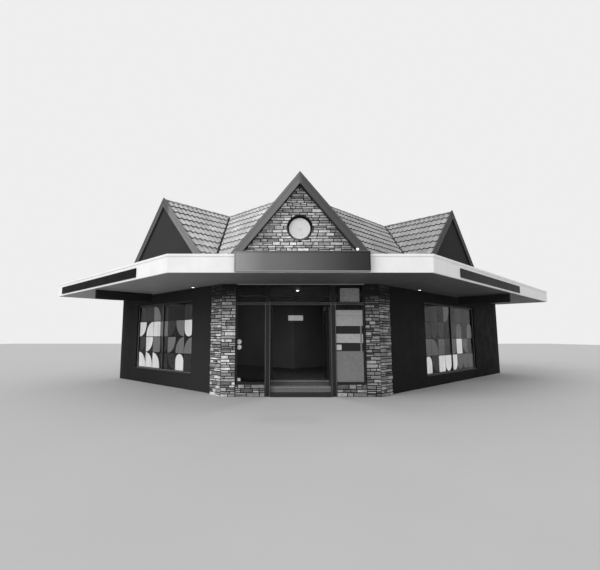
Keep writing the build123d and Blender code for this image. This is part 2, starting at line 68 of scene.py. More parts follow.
PIER_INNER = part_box("corner_lintel")[1].x
POST_OUTER = -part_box("recess_head")[0].x
RECESS_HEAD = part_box("recess_head")[0].z
RISER_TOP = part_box("right_stall_riser")[1].z
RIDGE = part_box("left_roof_street_slope")[1].z
WING_DEPTH = 4.85
RIDGE_DEPTH = WING_DEPTH / 2
REAR_EAVE = WING_DEPTH + 0.3
STREET_EAVE = 0.05
GABLE_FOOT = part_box("corner_barge_boards")[0].z
GABLE_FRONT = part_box("corner_gable_roof")[0].y
BARGE_INSET = 0.037
CORNER_PITCH = (RIDGE - GABLE_FOOT) / (HALF_BAY - BARGE_INSET)
ROOF_SLAB = 0.12
DISC = Vector((0, 0, (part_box("gable_disc")[0].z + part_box("gable_disc")[1].z) / 2))
RECESS_RADIUS = 0.345
WINDOW_HEAD = 2.65
BAY_REACH = 1.92

# The photograph's camera, solved from edges of the shop
EYE = (-0.5915, -10.674, 1.55)
CAMERA_TILT = 97.36
FOCAL_PIXELS = 400.2
PHOTO_WIDTH_PIXELS = 600
LENS_SHIFT = 0.0363
SENSOR_WIDTH = 36

# Daylight: strengths of the sky and the two suns, and the grey that the camera sees as sky
SKY = 0.62
SKY_GREY = 0.86
KEY_SUN = 1.42
FILL_SUN = 0.40

# Sizes of the pieces made here, in metres. Thin trims stand PROUD of the part behind and reach SUNK
# into it.
PROUD = 0.003
SUNK = 0.001
STONE_SHEET = -0.002
STONE_DEPTH = 0.018
TILE_UNDERLAY = 0.002
TILE_GAP = 0.035
GABLE_RUN = 3.4
CAP_LENGTH = 0.40
CAP_THICKNESS = 0.014
SOFFIT_JOINT = 0.007
STRIP = 0.012
SHEET_SPACING = 2.4
GLAZING = 0.056
DISPLAY_CELL = 0.5
DISPLAY_JOINT = 0.012
BEAD = 0.006


def axes_at(place, x, y, z):
    """The matrix that puts the origin at a place and turns the axes to three directions."""
    matrix = Matrix((x, y, z)).transposed().to_4x4()
    matrix.translation = place
    return matrix


class Wing(NamedTuple):
    """A wing of the shop. Apex, window and stone are places along the street, the rest are sizes."""

    sign: int
    length: float
    verge: float
    setback: float
    stone: float
    apex: float
    reach: float
    window: tuple
    sill: float
    soffit_past: float

    @property
    def street(self):
        return Vector((self.sign * ROOT, ROOT, 0))

    @property
    def inward(self):
        return Vector((-self.sign * ROOT, ROOT, 0))

    def point(self, s, t, z=0.0):
        return Vector((self.sign * HALF_BAY, 0, z)) + s * self.street + t * self.inward

    def frame(self):
        """X runs along the street to the right, Y into the building."""
        return axes_at(self.point(0, 0), self.sign * self.street, self.inward, UP)


WINGS = {
    "left": Wing(-1, length=6.5, verge=0.15, setback=0.18, stone=0.44, apex=2.82, reach=2.04,
                 window=(1.70, 5.25), sill=0.45, soffit_past=0.30),
    "right": Wing(1, length=9.8, verge=0.0, setback=0.04, stone=0.52, apex=4.65, reach=1.90,
                  window=(2.80, 7.05), sill=0.32, soffit_past=0.0),
}


class Slope:
    """A roof plane through a point of its lower edge, rising in a level direction."""

    def __init__(self, foot, uphill, pitch=1.0):
        self.foot = foot
        self.uphill = uphill
        self.pitch = pitch

    def height(self, spot):
        return self.foot.z + self.pitch * (spot - self.foot).dot(self.uphill)

    def length(self):
        """From the lower edge to the ridge, along the slope."""
        return (RIDGE - self.foot.z) / math.sin(math.atan(self.pitch))

    def axes(self):
        up = (self.uphill + self.pitch * UP).normalized()
        across = self.uphill.cross(UP)
        return axes_at(self.foot, across, up, across.cross(up))

    def valley(self, other, gap=TILE_GAP):
        """The upright plane where this slope meets the other, as a point and the side to drop."""
        change = self.pitch * self.uphill - other.pitch * other.uphill
        lead = self.height(ORIGIN) - other.height(ORIGIN)
        toward = change.normalized()
        return toward * (gap - lead / change.length), -toward


def street_slope(wing):
    return Slope(wing.point(0, STREET_EAVE, RIDGE - RIDGE_DEPTH + STREET_EAVE), wing.inward)


def rear_slope(wing):
    return Slope(wing.point(0, REAR_EAVE, RIDGE + RIDGE_DEPTH - REAR_EAVE), -wing.inward)


def gable_slope(wing, way):
    """Slope of a side gable: way 1 rises away from the bay, -1 towards it."""
    run = RIDGE - GABLE_FOOT
    return Slope(wing.point(wing.apex - way * run, GABLE_FRONT, GABLE_FOOT), way * wing.street)


def corner_slope(wing):
    run = (RIDGE - GABLE_FOOT) / CORNER_PITCH
    foot = Vector((wing.sign * run, GABLE_FRONT, GABLE_FOOT))
    return Slope(foot, Vector((-wing.sign, 0, 0)), CORNER_PITCH)


# Mesh steps shared by the pieces

UPRIGHT = (math.pi / 2, 0, 0)


def deselect():
    if bpy.context.mode != "OBJECT":
        bpy.ops.object.mode_set(mode="OBJECT")
    bpy.ops.object.select_all(action="DESELECT")


def select_only(obj):
    deselect()
    obj.select_set(True)
    bpy.context.view_layer.objects.active = obj


def edit(obj, select="FACE"):
    select_only(obj)
    bpy.ops.object.mode_set(mode="EDIT")
    bpy.ops.mesh.select_mode(type=select)


def leave():
    bpy.ops.object.mode_set(mode="OBJECT")


def pick_all():
    bpy.ops.mesh.select_all(action="SELECT")


def edited():
    """The mesh that is open in edit mode."""
    return bmesh.from_edit_mesh(bpy.context.edit_object.data)


def pick_faces(test):
    """Select in edit mode the faces that pass the test, which gets the face and its centre."""
    bpy.ops.mesh.select_all(action="DESELECT")
    for face in edited().faces:
        if test(face, face.calc_center_median()):
            face.select_set(True)
    bmesh.update_edit_mesh(bpy.context.edit_object.data, loop_triangles=False)


def pick_corners(test):
    """Select in edit mode the vertices that pass the test, and the edges between them."""
    bpy.ops.mesh.select_all(action="DESELECT")
    for vert in edited().verts:
        if test(vert.co):
            vert.select_set(True)
    edited().select_flush(True)
    bmesh.update_edit_mesh(bpy.context.edit_object.data, loop_triangles=False)


def cut_all(spot, normal, **options):
    """Cut the whole mesh in edit mode along a plane."""
    pick_all()
    bpy.ops.mesh.bisect(plane_co=spot, plane_no=normal, **options)


def extrude(x, y, z):
    bpy.ops.mesh.extrude_region_move(TRANSFORM_OT_translate={"value": (x, y, z)})


def shift(x, y, z):
    bpy.ops.transform.translate(value=(x, y, z))


def turn_outward():
    pick_all()
    bpy.ops.mesh.normals_make_consistent(inside=False)


def start(name, adder, scale, centre, turn=(0, 0, 0), **options):
    """Add a primitive, give it its size and leave its place in its mesh."""
    deselect()
    adder(**options)
    obj = bpy.context.object
    obj.name = name
    obj.data.name = name
    obj.scale = scale
    bpy.ops.object.transform_apply(location=False, rotation=False, scale=True)
    obj.rotation_euler = turn
    obj.location = centre
    bpy.ops.object.transform_apply(location=True, rotation=True, scale=True)
    return obj


def plane(name, width, height, centre, turn=(0, 0, 0)):
    return start(name, bpy.ops.mesh.primitive_plane_add, (width, height, 1), centre, turn, size=1)


def circle(name, centre, radius, corners, fill):
    return start(name, bpy.ops.mesh.primitive_circle_add, (1, 1, 1), centre, UPRIGHT,
                 vertices=corners, radius=radius, fill_type=fill)


def apply_modifier(obj, kind, **values):
    select_only(obj)
    modifier = obj.modifiers.new(kind.title(), kind)
    for key, value in values.items():
        setattr(modifier, key, value)
    bpy.ops.object.modifier_apply(modifier=modifier.name)


def repeat(obj, step, count):
    apply_modifier(obj, "ARRAY", count=count, use_relative_offset=False, use_constant_offset=True,
                   constant_offset_displace=step)


def settle(obj, matrix):
    """Put a finished mesh in its place and leave the object at the origin."""
    select_only(obj)
    obj.matrix_world = matrix
    bpy.ops.object.transform_apply(location=True, rotation=True, scale=True)


def trim(obj, planes):
    """Cut off what lies beyond each plane, given as a point and the side to drop."""
    edit(obj)
    for spot, normal in planes:
        cut_all(spot, normal, clear_outer=True)
    leave()


def soften(obj, width, segments=2):
    apply_modifier(obj, "BEVEL", width=width, segments=segments, limit_method="ANGLE",
                   harden_normals=False)


def smooth(obj, degrees):
    select_only(obj)
    bpy.ops.object.shade_smooth_by_angle(angle=math.radians(degrees))


def bar(name, low, high, edge=0.003):
    """A straight bar between two corners with rounded edges."""
    low, high = Vector(low), Vector(high)
    obj = start(name, bpy.ops.mesh.primitive_cube_add, high - low, (low + high) / 2, size=1)
    soften(obj, edge)
    return obj


def merge(name, objects):
    select_only(objects[0])
    for obj in objects[1:]:
        obj.select_set(True)
    bpy.ops.object.join()
    objects[0].name = name
    objects[0].data.name = name
    return objects[0]


def bars(name, corners, edge=0.001):
    """Thin straight bars in one mesh, each between two corners."""
    return merge(name, [bar(name, low, high, edge) for low, high in corners])


def hand_over(obj, slot, *finishes):
    """Let a finished piece ride on the building and give it its materials. The slot is not used."""
    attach(obj, "building")
    for finish in finishes:
        obj.data.materials.append(paint(finish) if isinstance(finish, str) else finish)


def tone_faces(obj, per_item, chance):
    """Give every repeated item its own tone, read by its material."""
    layer = obj.data.attributes.new("tone", "FLOAT", "FACE")
    count = math.ceil(len(obj.data.polygons) / per_item)
    tones = [chance.random() for _ in range(count)]
    for index, item in enumerate(layer.data):
        item.value = tones[index // per_item]


# Materials

class Nodes:
    """A node tree that is built from its sources to its output."""

    def __init__(self, tree):
        self.tree = tree

    def feed(self, inputs, values):
        """Give inputs plain values, or link them to other nodes' outputs."""
        for key, value in values.items():
            if isinstance(value, bpy.types.NodeSocket):
                self.tree.links.new(value, inputs[key])
            else:
                inputs[key].default_value = value

    def add(self, kind, values, **options):
        """Add a node and return its outputs."""
        node = self.tree.nodes.new(f"ShaderNode{kind}")
        for key, value in options.items():
            setattr(node, key, value)
        self.feed(node.inputs, values)
        return node.outputs


class Surface(Nodes):
    """The nodes of a material, laid on the object's own coordinates."""

    def __init__(self, tree):
        super().__init__(tree)
        self.where = self.add("TexCoord", {})["Object"]

    def stretch(self, scale):
        """Scale the coordinates of what is added from here on."""
        self.where = self.add("Mapping", {"Vector": self.where, "Scale": scale})["Vector"]

    def shade(self, colour, rough, sheen=0.5, **more):
        """Set the shader's inputs. More are others by their names, with _ for a space."""
        values = {"Base Color": colour, "Roughness": rough, "Specular IOR Level": sheen}
        values.update({key.replace("_", " "): value for key, value in more.items()})
        self.feed(self.tree.nodes["Principled BSDF"].inputs, values)

    def axis(self, name):
        return self.add("SeparateXYZ", {"Vector": self.where})[name]

    def own_tone(self):
        """The tone that tone_faces gave the stone or tile."""
        return self.add("Attribute", {}, attribute_name="tone")["Fac"]

    def noise(self, scale, detail=4.0, roughness=0.6):
        values = {"Vector": self.where, "Scale": scale, "Detail": detail, "Roughness": roughness}
        return self.add("TexNoise", values)["Fac"]

    def ramp(self, value, stops, change="LINEAR"):
        color = self.add("ValToRGB", {"Fac": value})["Color"]
        band = color.node.color_ramp
        band.interpolation = change
        while len(band.elements) < len(stops):
            band.elements.new(0.5)
        for element, (place, grey) in zip(band.elements, stops):
            element.position = place
            element.color = (grey, grey, grey, 1)
        return color

    def mottle(self, noise, dark, light, margin=0.3):
        """Greys from dark to light in the blotches of a noise."""
        return self.ramp(noise, [(margin, dark), (1 - margin, light)])

    def span(self, value, low, high, begin=0.3, end=0.7):
        values = {"Value": value, "From Min": begin, "From Max": end, "To Min": low, "To Max": high}
        return self.add("MapRange", values)["Result"]

    def grade(self, measure, stops, change="LINEAR"):
        """Greys along a measure in metres, given as places and greys."""
        low, high = stops[0][0], stops[-1][0]
        share = self.span(measure, 0.0, 1.0, low, high)
        return self.ramp(share, [((place - low) / (high - low), grey) for place, grey in stops], change)

    def multiply(self, first, *others):
        for other in others:
            values = {"Factor": 1.0, "A": first, "B": other}
            first = self.add("Mix", values, data_type="RGBA", blend_type="MULTIPLY")["Result"]
        return first

    def bump(self, height, strength, distance):
        values = {"Height": height, "Strength": strength, "Distance": distance}
        normal = self.add("Bump", values)["Normal"]
        self.feed(self.tree.nodes["Principled BSDF"].inputs, {"Normal": normal})


def material(dress):
    """Make of a function that dresses a surface one that gives the material of a name."""

    def give(name, *values, **options):
        label = f"{name}_finish"
        made = bpy.data.materials.get(label)
        if made is None:
            made = bpy.data.materials.new(label)
            made.use_nodes = True
            dress(Surface(made.node_tree), *values, **options)
        return made

    return give


@material
def painted(surface, grey, rough, spread, scale, grain, relief, metallic, sheen):
    """Paint or render with slow blotches, fine grain and uneven gloss."""
    slow = surface.noise(scale, 5.0)
    tone = surface.mottle(slow, grey * (1 - spread), grey * (1 + spread), 0.25)
    gloss = surface.span(slow, rough * 0.85, min(1.0, rough * 1.15))
    surface.shade(tone, gloss, sheen, Metallic=metallic)
    surface.bump(surface.noise(grain, 3.0), relief, 0.002)


@material
def graded(surface, stops, rough, axis="X", sheen=0.3):
    """Satin paint that changes its tone along one axis, given as places in metres and greys."""
    own = surface.grade(surface.axis(axis), stops)
    slow = surface.noise(2.2, 5.0)
    tone = surface.multiply(own, surface.mottle(slow, 0.94, 1.03))
    surface.shade(tone, surface.span(slow, rough * 0.85, rough * 1.15), sheen)
    surface.bump(surface.noise(80.0, 3.0), 0.08, 0.002)


@material
def banded(surface, bands):
    """Plain grey bands across a board, one above the other, given as height and grey."""
    top = (bands[-1][0] + 0.5, bands[-1][1])
    own = surface.grade(surface.axis("Z"), (*bands, top), "CONSTANT")
    worn = surface.mottle(surface.noise(14.0, 5.0), 0.88, 1.08)
    surface.shade(surface.multiply(own, worn), 0.5, 0.2)
    surface.bump(surface.noise(90.0, 2.0), 0.1, 0.001)


@material
def stone(surface, dark, light, sides=(1.0, 1.0)):
    """Ledge stone: each stone has its own tone, veins and a rough face.

    Painted shade darkens it in the last half metre under the canopy, and the sides' factors paint light
    and shade on it from left to right.
    """
    # Painted shade under the canopy: the stone turns dark from 2.35 m up to the soffit.
    painted_canopy_shade = surface.grade(surface.axis("Z"), ((2.35, 1.0), (2.50, 0.5), (2.62, 0.14), (2.75, 0.07),
                                             (2.96, 0.06), (3.12, 1.0)))
    # Painted light and shade: the sides' factors lighten one end of the stone and darken the other.
    lit = surface.grade(surface.axis("X"), ((-1.2, sides[0]), (1.2, sides[1])))
    surface.stretch((1, 1, 2.2))
    own = surface.ramp(surface.own_tone(), [(0.0, dark * 0.7), (0.2, dark), (0.8, light * 0.8),
                                            (1.0, light)])
    veins = surface.ramp(surface.noise(9.0, 6.0, 0.7), [(0.3, 0.45), (0.5, 0.95), (0.7, 1.3)])
    surface.shade(surface.multiply(own, veins, painted_canopy_shade, lit), 0.85)
    surface.bump(surface.noise(38.0, 6.0, 0.75), 0.7, 0.008)


@material
def tile(surface, grey):
    """Concrete tile with a faint tone of its own and stains, with painted light and shade that make it
    lighter left of the middle and darker right of it.
    """
    own = surface.ramp(surface.own_tone(), [(0.0, grey * 0.86), (1.0, grey * 1.12)])
    stain = surface.mottle(surface.noise(2.2, 6.0, 0.7), 0.8, 1.1)
    painted_left_light = surface.grade(surface.axis("X"), ((-7.0, 1.0), (-2.52, 1.1), (-0.7, 1.3), (0.7, 0.75),
                                                 (7.0, 0.75)))
    surface.shade(surface.multiply(own, stain, painted_left_light), 0.7)
    surface.bump(surface.noise(140.0), 0.35, 0.003)


@material
def glass(surface, grey):
    gloss = surface.span(surface.noise(2.5), 0.02, 0.06)
    surface.shade((grey, grey, grey, 1), gloss, Transmission_Weight=1.0, IOR=1.14)


@material
def lamp(surface, strength):
    glow = surface.mottle(surface.noise(30.0, 2.0), 0.85, 1.0)
    surface.shade(glow, 0.3, Emission_Color=glow, Emission_Strength=strength)


@material
def paper_with_painted_light(surface, grey):
    """Pale paper that glows with painted light, as if a spot lamp in the window lit it."""
    surface.stretch((1, 1, 0.25))
    tone = surface.mottle(surface.noise(6.0, 5.0), grey * 0.75, grey)
    surface.shade(tone, 0.8, Emission_Color=tone, Emission_Strength=0.85)


@material
def end_wall(surface, wing, grey, street_grey):
    """Grey render on a side wall, with the street wall's dark paint on its street face."""
    values = {0: surface.where, 1: wing.inward}
    depth = surface.add("VectorMath", values, operation="DOT_PRODUCT")["Value"]
    front = wing.point(0, wing.setback).dot(wing.inward)
    own = surface.grade(depth, ((front + 0.008, street_grey), (front + 0.012, grey)))
    worn = surface.mottle(surface.noise(0.9, 5.0), 0.85, 1.15, 0.25)
    surface.shade(surface.multiply(own, worn), 0.75, 0.15)
    surface.bump(surface.noise(70.0, 3.0), 0.4, 0.002)


class Paint(NamedTuple):
    """The values of a painted material: spread and scale are the blotches', grain the fine noise's."""

    grey: float
    rough: float
    spread: float
    scale: float
    grain: float
    relief: float
    metallic: float = 0.0
    sheen: float = 0.25


class Grade(NamedTuple):
    """The values of a graded material."""

    stops: tuple
    rough: float
    axis: str = "X"
    sheen: float = 0.3


FINISHES = {
    "pale_ground": Paint(0.62, 0.9, 0.02, 0.4, 30.0, 0.02),
    "dark_wall_paint": Paint(0.014, 0.6, 0.25, 1.2, 90.0, 0.3, sheen=0.1),
    "grey_render": Paint(0.16, 0.8, 0.15, 0.9, 70.0, 0.5),
    "stone_joint": Paint(0.018, 0.95, 0.3, 8.0, 50.0, 0.6, sheen=0.1),
    "gable_panel": Paint(0.028, 0.8, 0.12, 0.7, 80.0, 0.15, sheen=0.1),
    # One infill paint, the left gable's painted lighter and the right's darker: painted light and shade.
    "left_gable_infill": Paint(0.048, 0.8, 0.14, 0.8, 70.0, 0.15, sheen=0.1),
    "right_gable_infill": Paint(0.033, 0.8, 0.14, 0.8, 70.0, 0.15, sheen=0.1),
    "ceiling_plaster": Paint(0.30, 0.8, 0.06, 1.0, 60.0, 0.1),
    "disc_plaster": Paint(0.84, 0.7, 0.06, 6.0, 60.0, 0.15),
    "black_frame": Paint(0.014, 0.4, 0.2, 3.0, 150.0, 0.05),
    "frame_edge": Paint(0.20, 0.35, 0.15, 3.0, 120.0, 0.05, 0.5),
    "window_frame_paint": Paint(0.03, 0.5, 0.2, 3.0, 120.0, 0.05),
    "window_bead": Paint(0.22, 0.5, 0.5, 6.0, 60.0, 0.05),
    "display_panel": Paint(0.008, 0.8, 0.6, 1.1, 20.0, 0.02, sheen=0.05),
    "valley_metal": Paint(0.07, 0.6, 0.2, 2.0, 60.0, 0.2),
    "soffit_joint": Paint(0.02, 0.6, 0.2, 1.5, 60.0, 0.1),
    "deck_metal": Paint(0.22, 0.55, 0.2, 1.2, 60.0, 0.2, 0.3),
    "lamp_body": Paint(0.30, 0.5, 0.1, 4.0, 80.0, 0.05),
    "left_panel_paint": Paint(0.007, 0.6, 0.2, 2.0, 80.0, 0.05, sheen=0.08),
    "right_panel_paint": Paint(0.018, 0.5, 0.2, 2.0, 80.0, 0.05, sheen=0.12),
    "hanging_sign_paint": Paint(0.022, 0.5, 0.2, 2.0, 80.0, 0.05, sheen=0.15),
    "plate_print": Paint(0.27, 0.5, 0.4, 20.0, 90.0, 0.05),
    "pale_label": Paint(0.62, 0.6, 0.18, 5.0, 120.0, 0.05),
    "grey_label": Paint(0.24, 0.6, 0.18, 5.0, 120.0, 0.05),
    "sign_cap_metal": Paint(0.16, 0.4, 0.1, 2.0, 80.0, 0.05, 0.4),
    "pale_edge": Paint(0.34, 0.45, 0.1, 2.0, 80.0, 0.05),
    "shop_floor": Paint(0.035, 0.5, 0.2, 1.4, 60.0, 0.05),
    "recess_paint": Paint(0.06, 0.6, 0.2, 2.0, 90.0, 0.1),
    # The front walls are one dark paint, graded along the street: painted light near the bay and painted
    # shade towards the far ends.
    "left_wall_paint": Grade(((-7.0, 0.015), (-5.2, 0.017), (-3.0, 0.031)), 0.65, sheen=0.06),
    "right_wall_paint": Grade(((2.0, 0.014), (5.0, 0.013), (7.0, 0.006)), 0.65, sheen=0.06),
    # The barge boards are one paint, their greys split along X: painted light on the boards that face the
    # light, painted shade on the others.
    "left_barge_with_painted_light": Grade(((-4.1, 0.11), (-4.0, 0.24)), 0.55),
    "right_barge_with_painted_light": Grade(((5.4, 0.07), (5.5, 0.05)), 0.55),
    "corner_barge_with_painted_light": Grade(((-0.06, 0.20), (0.06, 0.085)), 0.55),
    # The shopfront frame is painted darker above the transom, painted shade under the canopy.
    "shopfront_frame_with_painted_shade": Grade(((2.44, 0.014), (2.50, 0.004), (2.96, 0.003)), 0.45, "Z"),
    # The main sign is light at its left end and dark at its right: a painted reflection.
    "main_sign_with_painted_reflection": Grade(((-1.6, 0.37), (-0.9, 0.18), (0.1, 0.11), (1.0, 0.03), (1.5, 0.012)), 0.4),
    # The soffit boards are painted lighter towards the left: painted light from the street.
    "soffit_boards": Grade(((-7.0, 0.30), (-3.0, 0.26), (-0.5, 0.13), (1.5, 0.10), (7.0, 0.08)), 0.5),
    # Painted shade under each course on the tile lips, with painted light on the slope left of the middle.
    "tile_lip_with_painted_shade": Grade(((-7.0, 0.05), (-3.4, 0.06), (-2.6, 0.20), (-0.6, 0.20), (0.4, 0.04),
                        (7.0, 0.05)), 0.9),
    # The ring round the disc is dark at its top and lighter at its bottom: painted shade in the recess.
    "disc_ring_with_painted_shade": Grade(((DISC.z - 0.36, 0.22), (DISC.z - 0.2, 0.12), (DISC.z + 0.1, 0.02)), 0.6, "Z", 0.1),
}
STEP_BANDS = ((0.0, 0.03), (0.101, 0.19), (0.205, 0.24), (0.241, 0.10), (0.34, 0.18))
BOARD_BANDS = ((0.375, 0.22), (1.17, 0.022), (1.38, 0.50), (1.62, 0.022), (1.83, 0.48), (2.10, 0.28),
               (2.112, 0.50))
DISPLAY_GREYS = {
    "left": {"pale": 0.92, "mid": 0.20, "dim": 0.025},
    "right": {"pale": 0.96, "mid": 0.12, "dim": 0.018},
}


def paint(name, **changes):
    """The material of a name in FINISHES."""
    values = FINISHES[name]._replace(**changes)
    return (painted if isinstance(values, Paint) else graded)(name, *values)


# The white fascia is painted darker towards the right: painted shade.
def fascia_with_painted_shade():
    light = settings().fascia_grey
    return graded("white_fascia", ((-2.0, light), (2.0, light * 0.95), (9.0, light * 0.9)), 0.4)


def metres(name, description, default):
    return bpy.props.FloatProperty(name=name, description=description, default=default, unit="LENGTH")


def brightness(name, description, default):
    return bpy.props.FloatProperty(name=name, description=description, default=default, subtype="FACTOR")


class ShopSettings(bpy.types.PropertyGroup):
    """Sizes and tones that a user may want to change."""

    tile_width: metres("Tile width", "Width of a roof tile with two rolls", 0.36)
    tile_course: metres("Tile course", "Height of a course of tiles on the slope", 0.37)
    tile_wave: metres("Tile roll", "Height of a tile's rolls", 0.036)
    tile_lip: metres("Tile lip", "Thickness of a tile's lower edge", 0.038)
    tile_grey: brightness("Tile tone", "Brightness of the roof tiles", 0.55)
    course_low: metres("Lowest course", "Lowest course of the stonework", 0.060)
    course_high: metres("Highest course", "Highest course of the stonework", 0.110)
    stone_short: metres("Shortest stone", "Shortest stone in the stonework", 0.13)
    stone_long: metres("Longest stone", "Longest stone in the stonework", 0.36)
    stone_joint: metres("Joint", "Width of the open joints", 0.024)
    stone_light: brightness("Stone tone", "Brightness of the piers' lightest stones", 0.90)
    board_width: metres("Soffit board", "Width of one soffit board", 0.135)
    lintel_grey: brightness("Lintel tone", "Brightness of the lintel over the shopfront", 0.014)
    fascia_grey: brightness("Fascia tone", "Brightness of the white fascia", 0.96)


def settings():
    return bpy.context.scene.corner_shop


class SHOP_OT_stage(bpy.types.Operator):
    """Add the floor, the daylight and the camera"""

    bl_idname = "shop.stage"
    bl_label = "Stage"

    def execute(self, context):
        scene = context.scene
        scene.view_settings.view_transform = "Standard"
        width, behind = 120, 20
        floor = start("stage_floor", bpy.ops.mesh.primitive_grid_add, (width, width, 1), (0, behind, 0),
                      x_subdivisions=4, y_subdivisions=4, size=1)
        floor.data.materials.append(paint("pale_ground"))
        self.light_world(scene)
        self.add_sun("key_sun", (62, 0, -50), KEY_SUN, 40)
        self.add_sun("fill_sun", (78, 0, 24), FILL_SUN, 60)
        self.add_camera(scene)
        return {"FINISHED"}

    def light_world(self, scene):
        """An even white sky that the camera sees, also through glass, as a pale grey."""
        world = bpy.data.worlds.new("studio")
        scene.world = world
        world.use_nodes = True
        nodes = Nodes(world.node_tree)
        back = world.node_tree.nodes["Background"]
        nodes.feed(back.inputs, {"Color": (1, 1, 1, 1), "Strength": SKY})
        seen = nodes.add("Background", {"Color": (SKY_GREY, SKY_GREY, SKY_GREY, 1), "Strength": 1.0})[0]
        path = nodes.add("LightPath", {})
        rays = {0: path["Is Camera Ray"], 1: path["Is Transmission Ray"]}
        either = nodes.add("Math", rays, operation="MAXIMUM")[0]
        mix = nodes.add("MixShader", {"Fac": either, 1: back.outputs[0], 2: seen})[0]
        nodes.feed(world.node_tree.nodes["World Output"].inputs, {"Surface": mix})

    def add_sun(self, name, turn, energy, angle):
        """A sun turned from straight down by degrees, with an angle that sets how soft its shadows are."""
        sun = bpy.data.objects.new(name, bpy.data.lights.new(name, "SUN"))
        sun.data.energy = energy
        sun.data.angle = math.radians(angle)
        sun.rotation_euler = [math.radians(value) for value in turn]
        bpy.context.scene.collection.objects.link(sun)

    def add_camera(self, scene):
        camera = bpy.data.objects.new("camera", bpy.data.cameras.new("camera"))
        scene.collection.objects.link(camera)
        camera.location = EYE
        camera.rotation_euler = (math.radians(CAMERA_TILT), 0, 0)
        camera.data.sensor_width = SENSOR_WIDTH
        camera.data.lens = SENSOR_WIDTH * FOCAL_PIXELS / PHOTO_WIDTH_PIXELS
        camera.data.shift_x = LENS_SHIFT
        camera.data.clip_end = 400
        scene.camera = camera


class SHOP_OT_finishes(bpy.types.Operator):
    """Give every fixed part its finish"""

    bl_idname = "shop.finishes"
    bl_label = "Finishes"

    def execute(self, context):
        by_slot, by_node = self.slot_finishes(), self.node_finishes()
        for row in frame["record"]["subparts"]:
            chosen = by_node.get(row["node"]) or by_slot[row["material_slot"]]
            obj = frame["nodes"][row["node"]]
            if not obj.material_slots:
                obj.data.materials.append(chosen)
            for place in obj.material_slots:
                place.material = chosen
        return {"FINISHED"}

    def slot_finishes(self):
        """The finish of each slot in the record, for the parts without one of their own."""
        names = {"plain_render": "grey_render", "stacked_stone": "stone_joint",
                 "gable_panel": "gable_panel", "pale_plaster": "ceiling_plaster",
                 "black_frame": "black_frame", "roof_tile": "valley_metal",
                 "soffit_paint": "soffit_joint", "deck_metal": "deck_metal", "lamp_lens": "lamp_body"}
        finishes = {slot: paint(name) for slot, name in names.items()}
        finishes["dark_render"] = paint("dark_wall_paint", grey=settings().lintel_grey)
        finishes["floor_tile"] = banded("step_tile", STEP_BANDS)
        finishes["board_print"] = banded("board_bands", BOARD_BANDS)
        finishes["clear_glass"] = glass("window_glass", 0.62)
        finishes["white_fascia"] = fascia_with_painted_shade()
        return finishes

    def node_finishes(self):
        names = {"gable_disc": "disc_plaster", "shopfront_frame": "shopfront_frame_with_painted_shade",
                 "main_sign": "main_sign_with_painted_reflection", "hanging_plate": "plate_print",
                 "floor_slab": "shop_floor", "recess_head": "recess_paint",
                 "corner_barge_boards": "corner_barge_with_painted_light"}
        for side in WINGS:
            names[f"{side}_window_frame"] = "window_frame_paint"
            names[f"{side}_recess_cheek"] = "recess_paint"
            names[f"{side}_hanging_sign"] = "hanging_sign_paint"
            names[f"{side}_fascia_panel"] = f"{side}_panel_paint"
            names[f"{side}_barge_boards"] = f"{side}_barge_with_painted_light"
            names[f"{side}_front_wall"] = f"{side}_wall_paint"
        finishes = {node: paint(name) for node, name in names.items()}
        finishes["sign_lamp"] = lamp("sign_lamp_glass", 0.5)
        render = FINISHES["grey_render"].grey
        # The street faces of the end walls take the front walls' greys at those ends, painted light and
        # shade included.
        finishes["left_end_wall"] = end_wall("left_side_wall", WINGS["left"], render, 0.015)
        finishes["party_wall"] = end_wall("right_side_wall", WINGS["right"], render, 0.006)
        return finishes


